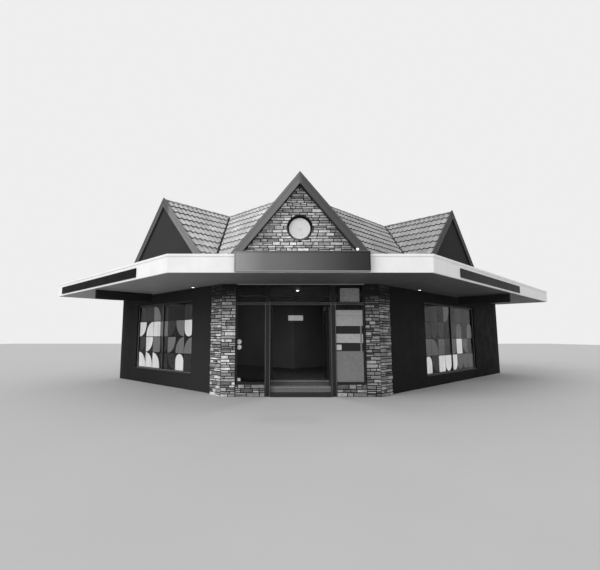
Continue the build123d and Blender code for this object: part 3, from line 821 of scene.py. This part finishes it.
class SHOP_OT_stonework(bpy.types.Operator):
    """Model the ledge stones of the piers, the stall risers and the gable over the bay"""

    bl_idname = "shop.stonework"
    bl_label = "Stonework"

    def execute(self, context):
        light = settings().stone_light
        # The right pier, its return and both stall risers take a darker copy of the stone, painted shade;
        # the gable's stones get painted light and shade from left to right.
        lit, shaded = stone("ledge_stone", 0.26, light), stone("shaded_ledge_stone", 0.13, light * 0.52)
        pale = stone("gable_ledge_stone", 0.42, 0.98, (1.35, 0.72))
        self.chance = random.Random(7)
        flat = Matrix.Identity(4)
        full, low = (0, SOFFIT - 0.004), (0, RISER_TOP)
        for side, wing in WINGS.items():
            sign = wing.sign
            stones = {"left": lit, "right": shaded}[side]
            self.patch(f"{side}_pier_stones", (sign * PIER_INNER, sign * (HALF_BAY + 0.006)), full, flat,
                       stones)
            self.patch(f"{side}_return_stones", (-0.006 * sign, sign * (wing.stone + 0.012)), full,
                       wing.frame(), stones)
            self.patch(f"{side}_riser_stones", (sign * POST_OUTER, sign * PIER_INNER), low, flat, shaded)
            if wing.setback > settings().stone_short / 2:
                self.patch(f"{side}_return_end_stones", (0.0, sign * wing.setback), full,
                           self.end_frame(wing), lit)
        slopes = [corner_slope(wing) for wing in WINGS.values()]
        self.patch("corner_gable_stones", (-HALF_BAY, HALF_BAY), (GABLE_BASE, RIDGE), flat, pale, slopes,
                   DISC)
        return {"FINISHED"}

    def end_frame(self, wing):
        """The end of the stone return, seen along the street."""
        return axes_at(wing.point(wing.stone, 0), wing.sign * wing.inward, -wing.street, UP)

    def patch(self, name, edges, levels, place, finish, slopes=(), hole=None):
        """A field of stones between two edges and two levels, under slopes and round a hole."""
        (x0, x1), (z0, z1) = sorted(edges), levels
        obj = plane(name, x1 - x0, z1 - z0, ((x0 + x1) / 2, STONE_SHEET, (z0 + z1) / 2), UPRIGHT)
        edit(obj)
        self.lay_courses((x0, x1), levels, hole)
        if slopes:
            self.fit_under(slopes)
        if hole is not None:
            self.fit_round(hole)
        leave()
        tone_faces(obj, 1, self.chance)
        self.shape_stones(obj)
        settle(obj, place)
        hand_over(obj, "stacked_stone", finish, "stone_joint")
        self.colour_joints(obj, place)

    def lay_courses(self, edges, levels, hole):
        """Cut the field into courses, the courses into stones and some stones in two."""
        chosen, chance = settings(), self.chance
        courses = [levels[0]]
        while courses[-1] < levels[1]:
            above = courses[-1] + chance.uniform(chosen.course_low, chosen.course_high)
            courses.append(above if levels[1] - above >= chosen.course_low else levels[1])
        for level in courses[1:-1]:
            cut_all((0, 0, level), UP)
        for low, above in zip(courses, courses[1:]):
            x = edges[0] + chance.uniform(chosen.stone_short / 2, chosen.stone_long)
            while x < edges[1] - chosen.stone_short / 2:
                self.cut_in(low, above, x)
                x += chance.uniform(chosen.stone_short, chosen.stone_long)
            if hole is not None:
                self.open_hole(low, above, hole)
            if above - low > 1.5 * chosen.course_low:
                self.split_some(low, above)

    def cut_in(self, low, above, x):
        """Cut the stone of a course that x lies in."""
        pick_faces(lambda face, centre: low < centre.z < above
                   and min(v.co.x for v in face.verts) < x < max(v.co.x for v in face.verts))
        bpy.ops.mesh.bisect(plane_co=(x, 0, 0), plane_no=(1, 0, 0))

    def open_hole(self, low, above, hole):
        """Leave out the stones of a course inside the recess."""
        off = (low + above) / 2 - hole.z
        if abs(off) >= RECESS_RADIUS:
            return
        half = math.sqrt(RECESS_RADIUS**2 - off**2)
        for x in (hole.x - half, hole.x + half):
            self.cut_in(low, above, x)
        pick_faces(lambda face, centre: low < centre.z < above and abs(centre.x - hole.x) < half)
        bpy.ops.mesh.delete(type="FACE")

    def split_some(self, low, above):
        """Cut about a third of a course's stones in two along their length."""
        middle = low + (above - low) * self.chance.uniform(0.4, 0.6)
        pick_faces(lambda face, centre: low < centre.z < above and self.chance.random() < 0.35)
        if any(face.select for face in edited().faces):
            bpy.ops.mesh.bisect(plane_co=(0, 0, middle), plane_no=UP)

    def fit_under(self, slopes):
        """Cut the stones along the underside of the two slopes."""
        for slope in slopes:
            drop = ROOF_SLAB * math.hypot(1, slope.pitch) + 0.01
            normal = Vector((-slope.pitch * slope.uphill.x, 0, 1)).normalized()
            cut_all((0, 0, slope.height(ORIGIN) - drop), normal, clear_outer=True)

    def fit_round(self, hole):
        """Cut the stones that still reach into the recess along its edge and drop slivers."""
        radius, sliver = RECESS_RADIUS + 0.004, 0.0012
        pick_all()
        bpy.ops.mesh.edge_split(type="EDGE")
        near = []
        for face in edited().faces:
            xs = [vert.co.x for vert in face.verts]
            zs = [vert.co.z for vert in face.verts]
            x, z = min(max(hole.x, min(xs)), max(xs)), min(max(hole.z, min(zs)), max(zs))
            way = Vector((x, hole.y, z)) - hole
            if 0 < way.length < radius:
                near.append((face.calc_center_median(), way.normalized()))
        for spot, toward in near:
            pick_faces(lambda face, centre: (centre - spot).length < 0.001)
            bpy.ops.mesh.bisect(plane_co=hole + toward * radius, plane_no=-toward, clear_outer=True)
        pick_faces(lambda face, centre: face.calc_area() < sliver)
        bpy.ops.mesh.delete(type="FACE")

    def shape_stones(self, obj):
        """Give each stone its joint, its depth, rounded edges and a split face."""
        front = STONE_SHEET - STONE_DEPTH + 0.001
        edit(obj)
        pick_all()
        bpy.ops.mesh.inset(thickness=settings().stone_joint / 2, use_individual=True,
                           use_even_offset=True)
        extrude(0, -STONE_DEPTH, 0)
        for step in (0.006, 0.008, 0.010):
            pick_faces(lambda face, centre: centre.y < front and abs(face.normal.y) > 0.9
                       and self.chance.random() < 0.5)
            shift(0, -step, 0)
        pick_faces(lambda face, centre: centre.y < front and face.normal.y < -0.9)
        bpy.ops.mesh.bevel(offset=0.007, segments=2, affect="EDGES", clamp_overlap=True)
        bpy.ops.mesh.select_mode(type="VERT")
        pick_corners(lambda spot: spot.y < -0.010)
        bpy.ops.transform.vertex_random(offset=0.0035, seed=self.chance.randint(1, 9999))
        leave()
        smooth(obj, 32)

    def colour_joints(self, obj, place):
        back = place.inverted()
        for face in obj.data.polygons:
            face.material_index = 1 if (back @ face.center).y > STONE_SHEET - 0.0015 else 0


class SHOP_OT_roof_tiles(bpy.types.Operator):
    """Model the wavy tiles of every slope, trimmed at the valleys"""

    bl_idname = "shop.roof_tiles"
    bl_label = "Roof tiles"

    def execute(self, context):
        self.chance = random.Random(11)
        for side, wing in WINGS.items():
            street, corner = street_slope(wing), corner_slope(wing)
            inner, outer = gable_slope(wing, 1), gable_slope(wing, -1)
            way, apex = wing.street, wing.apex
            end = wing.length + wing.verge
            axis = (ORIGIN, Vector((-wing.sign, 0, 0)))
            far_end = (wing.point(end, 0), way)
            self.lay(f"{side}_tiles_by_bay", street, way, (-3.2, apex),
                     [street.valley(inner), street.valley(corner), axis])
            self.lay(f"{side}_tiles_far_end", street, way, (apex - 3.0, end),
                     [street.valley(outer), far_end])
            self.lay(f"{side}_tiles_rear", rear_slope(wing), way, (-0.8, end), [axis, far_end])
            self.valley_foot(side, street, corner)
            for label, slope in (("inner", inner), ("outer", outer)):
                self.lay(f"{side}_gable_tiles_{label}", slope, wing.inward, (0.0, GABLE_RUN),
                         [slope.valley(street)])
            self.lay(f"{side}_tiles_over_bay", corner, Vector((0, 1, 0)), (0.0, GABLE_RUN),
                     [corner.valley(street)])
        return {"FINISHED"}

    def one_tile(self, name, width, course):
        """A tile with two rolls, its lower edge along X, raised on its lip and turned down there."""
        chosen = settings()
        obj = start(name, bpy.ops.mesh.primitive_grid_add, (width, course, 1), (width / 2, course / 2, 0),
                    x_subdivisions=12, y_subdivisions=1, size=1)
        edit(obj, "VERT")
        for x in sorted({round(v.co.x, 4) for v in edited().verts}):
            roll = (0.5 + 0.5 * math.cos(4 * math.pi * x / width)) ** 1.3
            pick_corners(lambda spot: abs(spot.x - x) < 0.001)
            shift(0, 0, chosen.tile_wave * roll)
        pick_corners(lambda spot: spot.y < 0.001)
        shift(0, 0, chosen.tile_lip)
        bpy.ops.mesh.select_mode(type="EDGE")
        pick_corners(lambda spot: spot.y < 0.001)
        extrude(0, 0.004, -chosen.tile_lip)
        leave()
        # The lip faces take the second material, painted shade under the course.
        for face in obj.data.polygons:
            face.material_index = 1 if abs(face.normal.z) < 0.6 else 0
        return obj

    def lay(self, name, slope, way, along, planes):
        """Tiles on a slope between two distances from its foot along a level way, then trimmed."""
        chosen = settings()
        across = slope.axes().to_3x3().col[0]
        left, right = sorted(across.dot(way) * distance for distance in along)
        courses = round(slope.length() / chosen.tile_course)
        course = slope.length() / courses
        obj = self.one_tile(name, chosen.tile_width, course)
        per_tile = len(obj.data.polygons)
        repeat(obj, (chosen.tile_width, 0, 0), math.ceil((right - left) / chosen.tile_width))
        repeat(obj, (0, course, 0), courses)
        tone_faces(obj, per_tile, self.chance)
        settle(obj, Matrix.Translation((left, 0, TILE_UNDERLAY)))
        trim(obj, [((right, 0, 0), (1, 0, 0))])
        settle(obj, slope.axes())
        trim(obj, planes)
        smooth(obj, 40)
        hand_over(obj, "roof_tile", tile("roof_tile", chosen.tile_grey), "tile_lip_with_painted_shade")

    def valley_foot(self, side, street, corner):
        """Metal sheet on boards that closes the roof at the bay's corner, under the valley."""
        width, length, reach, depth, below = 2.0, 0.9, 0.26, 0.165, 0.004
        obj = plane(f"{side}_valley_foot", width, length, (0, length / 2, -below))
        settle(obj, street.axes())
        trim(obj, [street.valley(corner, 0.0), ((0, reach, 0), (0, 1, 0))])
        edit(obj)
        pick_all()
        extrude(0, 0, -depth)
        turn_outward()
        leave()
        soften(obj, 0.004)
        hand_over(obj, "roof_tile", "valley_metal")


class SHOP_OT_ridges(bpy.types.Operator):
    """Model the ridge caps"""

    bl_idname = "shop.ridges"
    bl_label = "Ridge caps"

    def execute(self, context):
        self.chance = random.Random(5)
        top = RIDGE + 0.008
        first = RIDGE_DEPTH - HALF_BAY * math.sqrt(2) + 0.05
        for side, wing in WINGS.items():
            apex, end = wing.apex, wing.length + wing.verge
            self.line(f"{side}_ridge_caps", wing.point(first, RIDGE_DEPTH, top),
                      wing.point(end, RIDGE_DEPTH, top))
            self.line(f"{side}_gable_ridge_caps", wing.point(apex, GABLE_FRONT, top),
                      wing.point(apex, RIDGE_DEPTH, top))
        back = RIDGE_DEPTH * math.sqrt(2) - HALF_BAY
        self.line("corner_ridge_caps", Vector((0, GABLE_FRONT, top)), Vector((0, back, top)), CORNER_PITCH)
        return {"FINISHED"}

    def line(self, name, begin, end, pitch=1.0):
        """A row of overlapping caps from the front end to the rear one."""
        count = max(1, round((end - begin).length / CAP_LENGTH))
        step = (end - begin).length / count
        crown, knee, edge = 0.02, 0.05, 0.105
        drops = ((crown, 0.004), (knee, 0.028), (edge, 0.028 + (edge - knee) * pitch))
        obj = plane(name, 2 * edge, step * 1.06, (0, step / 2, 0))
        edit(obj, "VERT")
        for x in (-knee, -crown, crown, knee):
            cut_all((x, 0, 0), (1, 0, 0))
        for x, drop in drops:
            pick_corners(lambda spot: abs(abs(spot.x) - x) < 0.002)
            shift(0, 0, -drop)
        pick_corners(lambda spot: spot.y < 0)
        shift(0, 0, CAP_THICKNESS)
        leave()
        apply_modifier(obj, "SOLIDIFY", thickness=CAP_THICKNESS, offset=-1)
        soften(obj, 0.003, 1)
        settle(obj, Matrix.Translation((0, 0, 0.03)))
        per_cap = len(obj.data.polygons)
        repeat(obj, (0, step, 0), count)
        tone_faces(obj, per_cap, self.chance)
        way = (end - begin).normalized()
        settle(obj, axes_at(begin, way.cross(UP), way, UP))
        hand_over(obj, "roof_tile", tile("ridge_cap", settings().tile_grey * 0.42))


class SHOP_OT_soffit_boards(bpy.types.Operator):
    """Model the boards under the canopy, mitred at its corners"""

    bl_idname = "shop.soffit_boards"
    bl_label = "Soffit boards"

    def execute(self, context):
        mitres = {side: self.mitre(wing) for side, wing in WINGS.items()}
        bay = self.field("bay_soffit_boards", (-4.2, 4.2), BAY_REACH)
        trim(bay, mitres.values())
        hand_over(bay, "soffit_paint", "soffit_boards")
        for side, wing in WINGS.items():
            end = wing.length + wing.soffit_past
            obj = self.field(f"{side}_soffit_boards", (-1.4 * wing.sign, end * wing.sign),
                             wing.reach)
            settle(obj, wing.frame())
            spot, normal = mitres[side]
            trim(obj, [(spot, -normal)])
            hand_over(obj, "soffit_paint", "soffit_boards")
        return {"FINISHED"}

    def mitre(self, wing):
        """The upright plane between the bay's and the canopy's corner; the side to drop is the wing's."""
        corner = wing.point(0, 0)
        tip = wing.point(wing.reach - BAY_REACH * math.sqrt(2), -wing.reach)
        normal = (tip - corner).normalized().cross(UP)
        return corner, normal * math.copysign(1, normal.x * wing.sign)

    def field(self, name, ends, reach):
        """Boards side by side from the fascia's back to the wall."""
        left, right = sorted(ends)
        front, back = -reach + 0.04, -0.03
        count = math.ceil((back - front) / settings().board_width)
        width = (back - front) / count
        centre = ((left + right) / 2, front + width / 2, SOFFIT - 0.001)
        obj = plane(name, right - left, width, centre, (math.pi, 0, 0))
        edit(obj)
        pick_all()
        bpy.ops.mesh.inset(thickness=SOFFIT_JOINT)
        shift(0, 0, -SOFFIT_JOINT)
        leave()
        repeat(obj, (0, width, 0), count)
        return obj


class SHOP_OT_gable_infill(bpy.types.Operator):
    """Model the flat sheets that close the side gables just behind their barge boards"""

    bl_idname = "shop.gable_infill"
    bl_label = "Gable infill"

    def execute(self, context):
        top = RIDGE - ROOF_SLAB * math.sqrt(2) - 0.002
        run = top - GABLE_BASE
        sheet = 1.2
        for side, wing in WINGS.items():
            apex = wing.sign * wing.apex
            obj = plane(f"{side}_gable_infill", 2 * run, run,
                        (apex, GABLE_FRONT + 0.024, GABLE_BASE + run / 2), UPRIGHT)
            edit(obj)
            for way in (-1, 1):
                cut_all((apex, 0, top), (way * ROOT, 0, ROOT), clear_outer=True)
                cut_all((apex + way * (top - GABLE_FOOT), 0, 0), (way, 0, 0), clear_outer=True)
            for step in range(-1, 3):
                cut_all((apex + (step - 0.5) * sheet, 0, 0), (1, 0, 0))
            pick_all()
            bpy.ops.mesh.inset(thickness=0.0025, use_individual=True, use_even_offset=True)
            extrude(0, -0.004, 0)
            leave()
            apply_modifier(obj, "SOLIDIFY", thickness=0.010, offset=-1)
            settle(obj, wing.frame())
            hand_over(obj, "gable_panel", f"{side}_gable_infill")
        return {"FINISHED"}


class SHOP_OT_canopy_trim(bpy.types.Operator):
    """Model the trims of the canopy and the main sign, and the domes of the round lamps"""

    bl_idname = "shop.canopy_trim"
    bl_label = "Canopy and sign trims"

    def execute(self, context):
        low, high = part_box("main_sign")
        for name, near, far, slot, finish in (
            ("sign_cap", (low.x - 0.004, low.y - 0.006, high.z - 0.004),
             (high.x + 0.004, high.y, high.z + 0.008), "sign_face", "sign_cap_metal"),
            ("sign_foot", (low.x, low.y - 0.004, low.z - 0.006),
             (high.x, low.y + 0.016, low.z + 0.016), "sign_face", "pale_edge"),
            ("soffit_trim", (-1.69, -0.045, SOFFIT - 0.028),
             (1.715, -0.022, SOFFIT - 0.004), "soffit_paint", "pale_edge"),
        ):
            hand_over(bar(name, near, far), slot, finish)
        self.fascia_joints()
        left, right = WINGS.values()
        z = SOFFIT - 0.011
        outside = left.point(1.19, -0.15, z), right.point(2.13, -0.15, z)
        inside = left.point(4.33, 0.77, z), right.point(7.23, 1.07, z), (0, 1.5, z)
        self.lamp_domes("canopy", outside, 3.0)
        self.lamp_domes("room", inside, 1500.0)
        return {"FINISHED"}

    def lamp_domes(self, name, spots, strength):
        """Small glowing domes under round lamps."""
        domes = []
        for spot in spots:
            domes.append(start("dome", bpy.ops.mesh.primitive_uv_sphere_add, (1, 1, 0.14), spot,
                               segments=20, ring_count=8, radius=0.042))
            bpy.ops.object.shade_smooth()
        hand_over(merge(f"{name}_lamp_lenses", domes), "lamp_lens", lamp(f"{name}_lamp_glass", strength))

    def fascia_joints(self):
        """Narrow cover strips over the joints of the fascia sheets."""
        strips = [self.cover_strip(x, BAY_REACH) for x in (-2.35, 1.95, 2.6)]
        for side, wing in WINGS.items():
            for step in range(1, int(wing.length / SHEET_SPACING) + 1):
                strip = self.cover_strip(wing.sign * (step * SHEET_SPACING - 0.9), wing.reach)
                settle(strip, wing.frame())
                strips.append(strip)
        hand_over(merge("fascia_cover_strips", strips), "white_fascia", fascia_with_painted_shade())

    def cover_strip(self, x, reach):
        return bar("strip", (x - STRIP, -reach - PROUD, SOFFIT + 0.004),
                   (x + STRIP, -reach + SUNK, FASCIA_TOP - 0.058), 0.001)


class SHOP_OT_shopfront_trim(bpy.types.Operator):
    """Model the pale edges of the shopfront, the plates in it and the label inside"""

    bl_idname = "shop.shopfront_trim"
    bl_label = "Shopfront trims"

    def execute(self, context):
        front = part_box("shopfront_frame")[0].y
        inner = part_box("entrance_steps")[1].x + 0.01
        transom = 0.05
        upright, level, margin = 0.005, 0.004, 0.001
        strips = []
        for sign in (-1, 1):
            for x in (sign * (inner + upright + margin), sign * (POST_OUTER - upright - margin)):
                strips.append(((x - upright, front - PROUD - margin, 0.0),
                               (x + upright, front + SUNK, RECESS_HEAD + transom)))
        for z in (RECESS_HEAD + level, RECESS_HEAD + transom - level):
            strips.append(((-PIER_INNER, front - PROUD, z - level), (PIER_INNER, front + SUNK, z + level)))
        hand_over(bars("shopfront_edges", strips), "black_frame", "frame_edge")
        self.board_plates()
        self.window_labels()
        self.hanging_label()
        return {"FINISHED"}

    def board_plates(self):
        """A square and a tall plate on the board at the right-hand bay window."""
        low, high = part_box("window_board")
        near, far = low.y - PROUD, low.y + SUNK
        label = bar("board_label", (low.x + 0.005, near, 1.20), (low.x + 0.135, far, 1.34), 0.001)
        hand_over(label, "board_print", "pale_label")
        strip = bar("board_strip", (high.x - 0.075, near, 1.17), (high.x - 0.035, far, 1.83), 0.001)
        hand_over(strip, "board_print", "grey_label")

    def window_labels(self):
        """Two discs and a square on the glass of the left-hand bay window."""
        x, radius, rim, thin = -1.625, 0.062, 0.008, 0.001
        glass_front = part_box("shopfront_glass")[0].y
        labels = []
        for z in (1.275, 1.415):
            label = circle("label", (x, glass_front - thin, z), radius, 32, "NGON")
            edit(label)
            pick_all()
            extrude(0, -thin, 0)
            bpy.ops.mesh.inset(thickness=rim)
            extrude(0, -thin, 0)
            leave()
            labels.append(label)
        labels.append(bar("label", (x - 0.04, glass_front - 0.002, 0.395), (x + 0.04, glass_front, 0.475),
                          0.0006))
        hand_over(merge("window_labels", labels), "board_print", "pale_label")

    def hanging_label(self):
        """A blank plate hung on two rods from the head of the entrance, clear of the leaves."""
        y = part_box("recess_head")[0].y + 0.10
        top = 2.123
        plate = bar("entrance_label", (-0.318, y - 0.006, 1.982), (0.08, y + 0.006, top), 0.002)
        hand_over(plate, "board_print", "pale_label")
        rods = [((x - 0.003, y - 0.003, top - 0.005), (x + 0.003, y + 0.003, RECESS_HEAD + 0.001))
                for x in (-0.27, 0.03)]
        hand_over(bars("label_rods", rods), "black_frame", "black_frame")


class SHOP_OT_window_displays(bpy.types.Operator):
    """Model the backing panel and its plain pattern behind each street window"""

    bl_idname = "shop.window_displays"
    bl_label = "Window displays"

    def execute(self, context):
        for side, seed in (("left", 3), ("right", 4)):
            self.display(side, random.Random(seed))
        return {"FINISHED"}

    def display(self, side, chance):
        """A plain pattern of quarter rounds, arches and squares on a dark sheet behind the glass."""
        wing = WINGS[side]
        near, far = wing.window
        x0, x1 = sorted((wing.sign * (near + GLAZING), wing.sign * (far - GLAZING)))
        z0, z1 = wing.sill + GLAZING, WINDOW_HEAD - GLAZING
        back = self.behind_glass(side, wing) + 0.008
        panel = bar(f"{side}_display_panel", (x0, back, z0), (x1, back + 0.010, z1), 0.002)
        settle(panel, wing.frame())
        hand_over(panel, "board_print", "display_panel")
        shapes = {"pale": [], "mid": [], "dim": []}
        choices = ("pale pale mid dim", "pale mid mid dim", "mid dim none pale", "dim dim none mid")
        columns, rows = round((x1 - x0) / DISPLAY_CELL), len(choices)
        wide, high = (x1 - x0) / columns, (z1 - z0) / rows
        for row in range(rows):
            for column in range(columns):
                kind = chance.choice(choices[row].split())
                if kind == "none":
                    continue
                centre = Vector((x0 + (column + 0.5) * wide, back - 0.001, z0 + (row + 0.5) * high))
                size = wide - 2 * DISPLAY_JOINT, high - 2 * DISPLAY_JOINT
                paper = plane("paper", *size, centre, UPRIGHT)
                corners = chance.choice((1, 1, 2, 0))
                way = Vector((chance.choice((-1, 1)), 0, chance.choice((-1, 1))))
                self.round_off(paper, centre, min(size), corners, way)
                shapes[kind].append(paper)
        for kind, items in shapes.items():
            obj = merge(f"{side}_display_{kind}_shapes", items)
            settle(obj, wing.frame())
            # The display shapes glow with painted light.
            hand_over(obj, "board_print", paper_with_painted_light(f"{side}_display_{kind}", DISPLAY_GREYS[side][kind]))
        self.beads(side, x0 - 0.004, x1 + 0.004, z0 - 0.004, z1 + 0.004)

    def behind_glass(self, side, wing):
        """How far the back of a street window's glass lies behind the line of the stone."""
        back = wing.frame().inverted()
        corners = frame["nodes"][f"{side}_window_glass"].data.vertices
        return max((back @ corner.co).y for corner in corners)

    def round_off(self, obj, centre, width, corners, way):
        """Turn the paper into a quarter round (1 corner), an arch (2) or a softened square (0)."""
        edit(obj, "VERT")
        pick_corners(lambda spot: corners == 0 or (spot.z - centre.z) * way.z > 0
                     and (corners == 2 or (spot.x - centre.x) * way.x > 0))
        share = {0: 0.08, 1: 0.98, 2: 0.499}[corners]
        bpy.ops.mesh.bevel(offset=width * share, segments=8, affect="VERTICES")
        leave()
        edit(obj)
        pick_all()
        extrude(0, -0.002, 0)
        leave()

    def beads(self, side, left, right, foot, head):
        """Thin pale glazing beads at the foot and the outer side of the glass and on the mullion."""
        wing = WINGS[side]
        front = wing.setback + 0.036
        outer = left if side == "left" else right
        strips = [((left, front, foot - 0.016), (right, front + BEAD, foot))]
        for x in (outer, (left + right) / 2):
            strips.append(((x - BEAD, front, foot), (x + BEAD, front + BEAD, head)))
        obj = bars(f"{side}_window_beads", strips)
        settle(obj, wing.frame())
        hand_over(obj, "black_frame", "window_bead")


class SHOP_OT_gable_disc(bpy.types.Operator):
    """Model the ring round the disc, dark with painted shade, and the disc's raised rim and boss"""

    bl_idname = "shop.gable_disc"
    bl_label = "Gable disc"

    def execute(self, context):
        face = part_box("gable_disc")[0].y
        for name, inner, outer, front, depth, slot, finish in (
            ("disc_recess_ring", 0.330, 0.354, -0.034, 0.020, "stacked_stone", "disc_ring_with_painted_shade"),
            ("disc_rim", 0.268, 0.292, face - 0.010, 0.010, "pale_plaster", "disc_plaster"),
            ("disc_boss", 0.012, 0.045, face - 0.008, 0.008, "pale_plaster", "disc_plaster"),
        ):
            hand_over(self.ring(name, inner, outer, front, depth), slot, finish)
        return {"FINISHED"}

    def ring(self, name, inner, outer, front, depth):
        """A flat ring with rounded edges, facing the street."""
        centre = (DISC.x, front, DISC.z)
        obj = circle(name, centre, outer, 64, "NOTHING")
        edit(obj, "EDGE")
        pick_all()
        bpy.ops.mesh.extrude_edges_move()
        share = inner / outer
        bpy.ops.transform.resize(value=(share, 1, share), center_override=centre)
        turn_outward()
        leave()
        if obj.data.polygons[0].normal.y > 0:
            edit(obj)
            pick_all()
            bpy.ops.mesh.flip_normals()
            leave()
        apply_modifier(obj, "SOLIDIFY", thickness=depth, offset=-1)
        soften(obj, min(0.004, depth / 3))
        smooth(obj, 35)
        return obj


class SHOP_PT_panel(bpy.types.Panel):
    """Lists the steps that dress the shop"""

    bl_idname = "SHOP_PT_panel"
    bl_label = "Corner Shop"
    bl_space_type = "VIEW_3D"
    bl_region_type = "UI"
    bl_category = "Corner Shop"

    def draw(self, context):
        for name in ShopSettings.__annotations__:
            self.layout.prop(context.scene.corner_shop, name)
        for step in STEPS:
            self.layout.operator(step.bl_idname)


STEPS = (
    SHOP_OT_stage,
    SHOP_OT_finishes,
    SHOP_OT_stonework,
    SHOP_OT_roof_tiles,
    SHOP_OT_ridges,
    SHOP_OT_soffit_boards,
    SHOP_OT_gable_infill,
    SHOP_OT_canopy_trim,
    SHOP_OT_shopfront_trim,
    SHOP_OT_window_displays,
    SHOP_OT_gable_disc,
)


CLASSES = (ShopSettings, *STEPS, SHOP_PT_panel)


def register():
    for each in CLASSES:
        bpy.utils.register_class(each)
    bpy.types.Scene.corner_shop = bpy.props.PointerProperty(type=ShopSettings)


def unregister():
    del bpy.types.Scene.corner_shop
    for each in reversed(CLASSES):
        bpy.utils.unregister_class(each)


def main():
    register()
    bpy.ops.shop.stage()
    bpy.ops.shop.finishes()
    bpy.ops.shop.stonework()
    bpy.ops.shop.roof_tiles()
    bpy.ops.shop.ridges()
    bpy.ops.shop.soffit_boards()
    bpy.ops.shop.gable_infill()
    bpy.ops.shop.canopy_trim()
    bpy.ops.shop.shopfront_trim()
    bpy.ops.shop.window_displays()
    bpy.ops.shop.gable_disc()


if __name__ == "__main__":
    main()
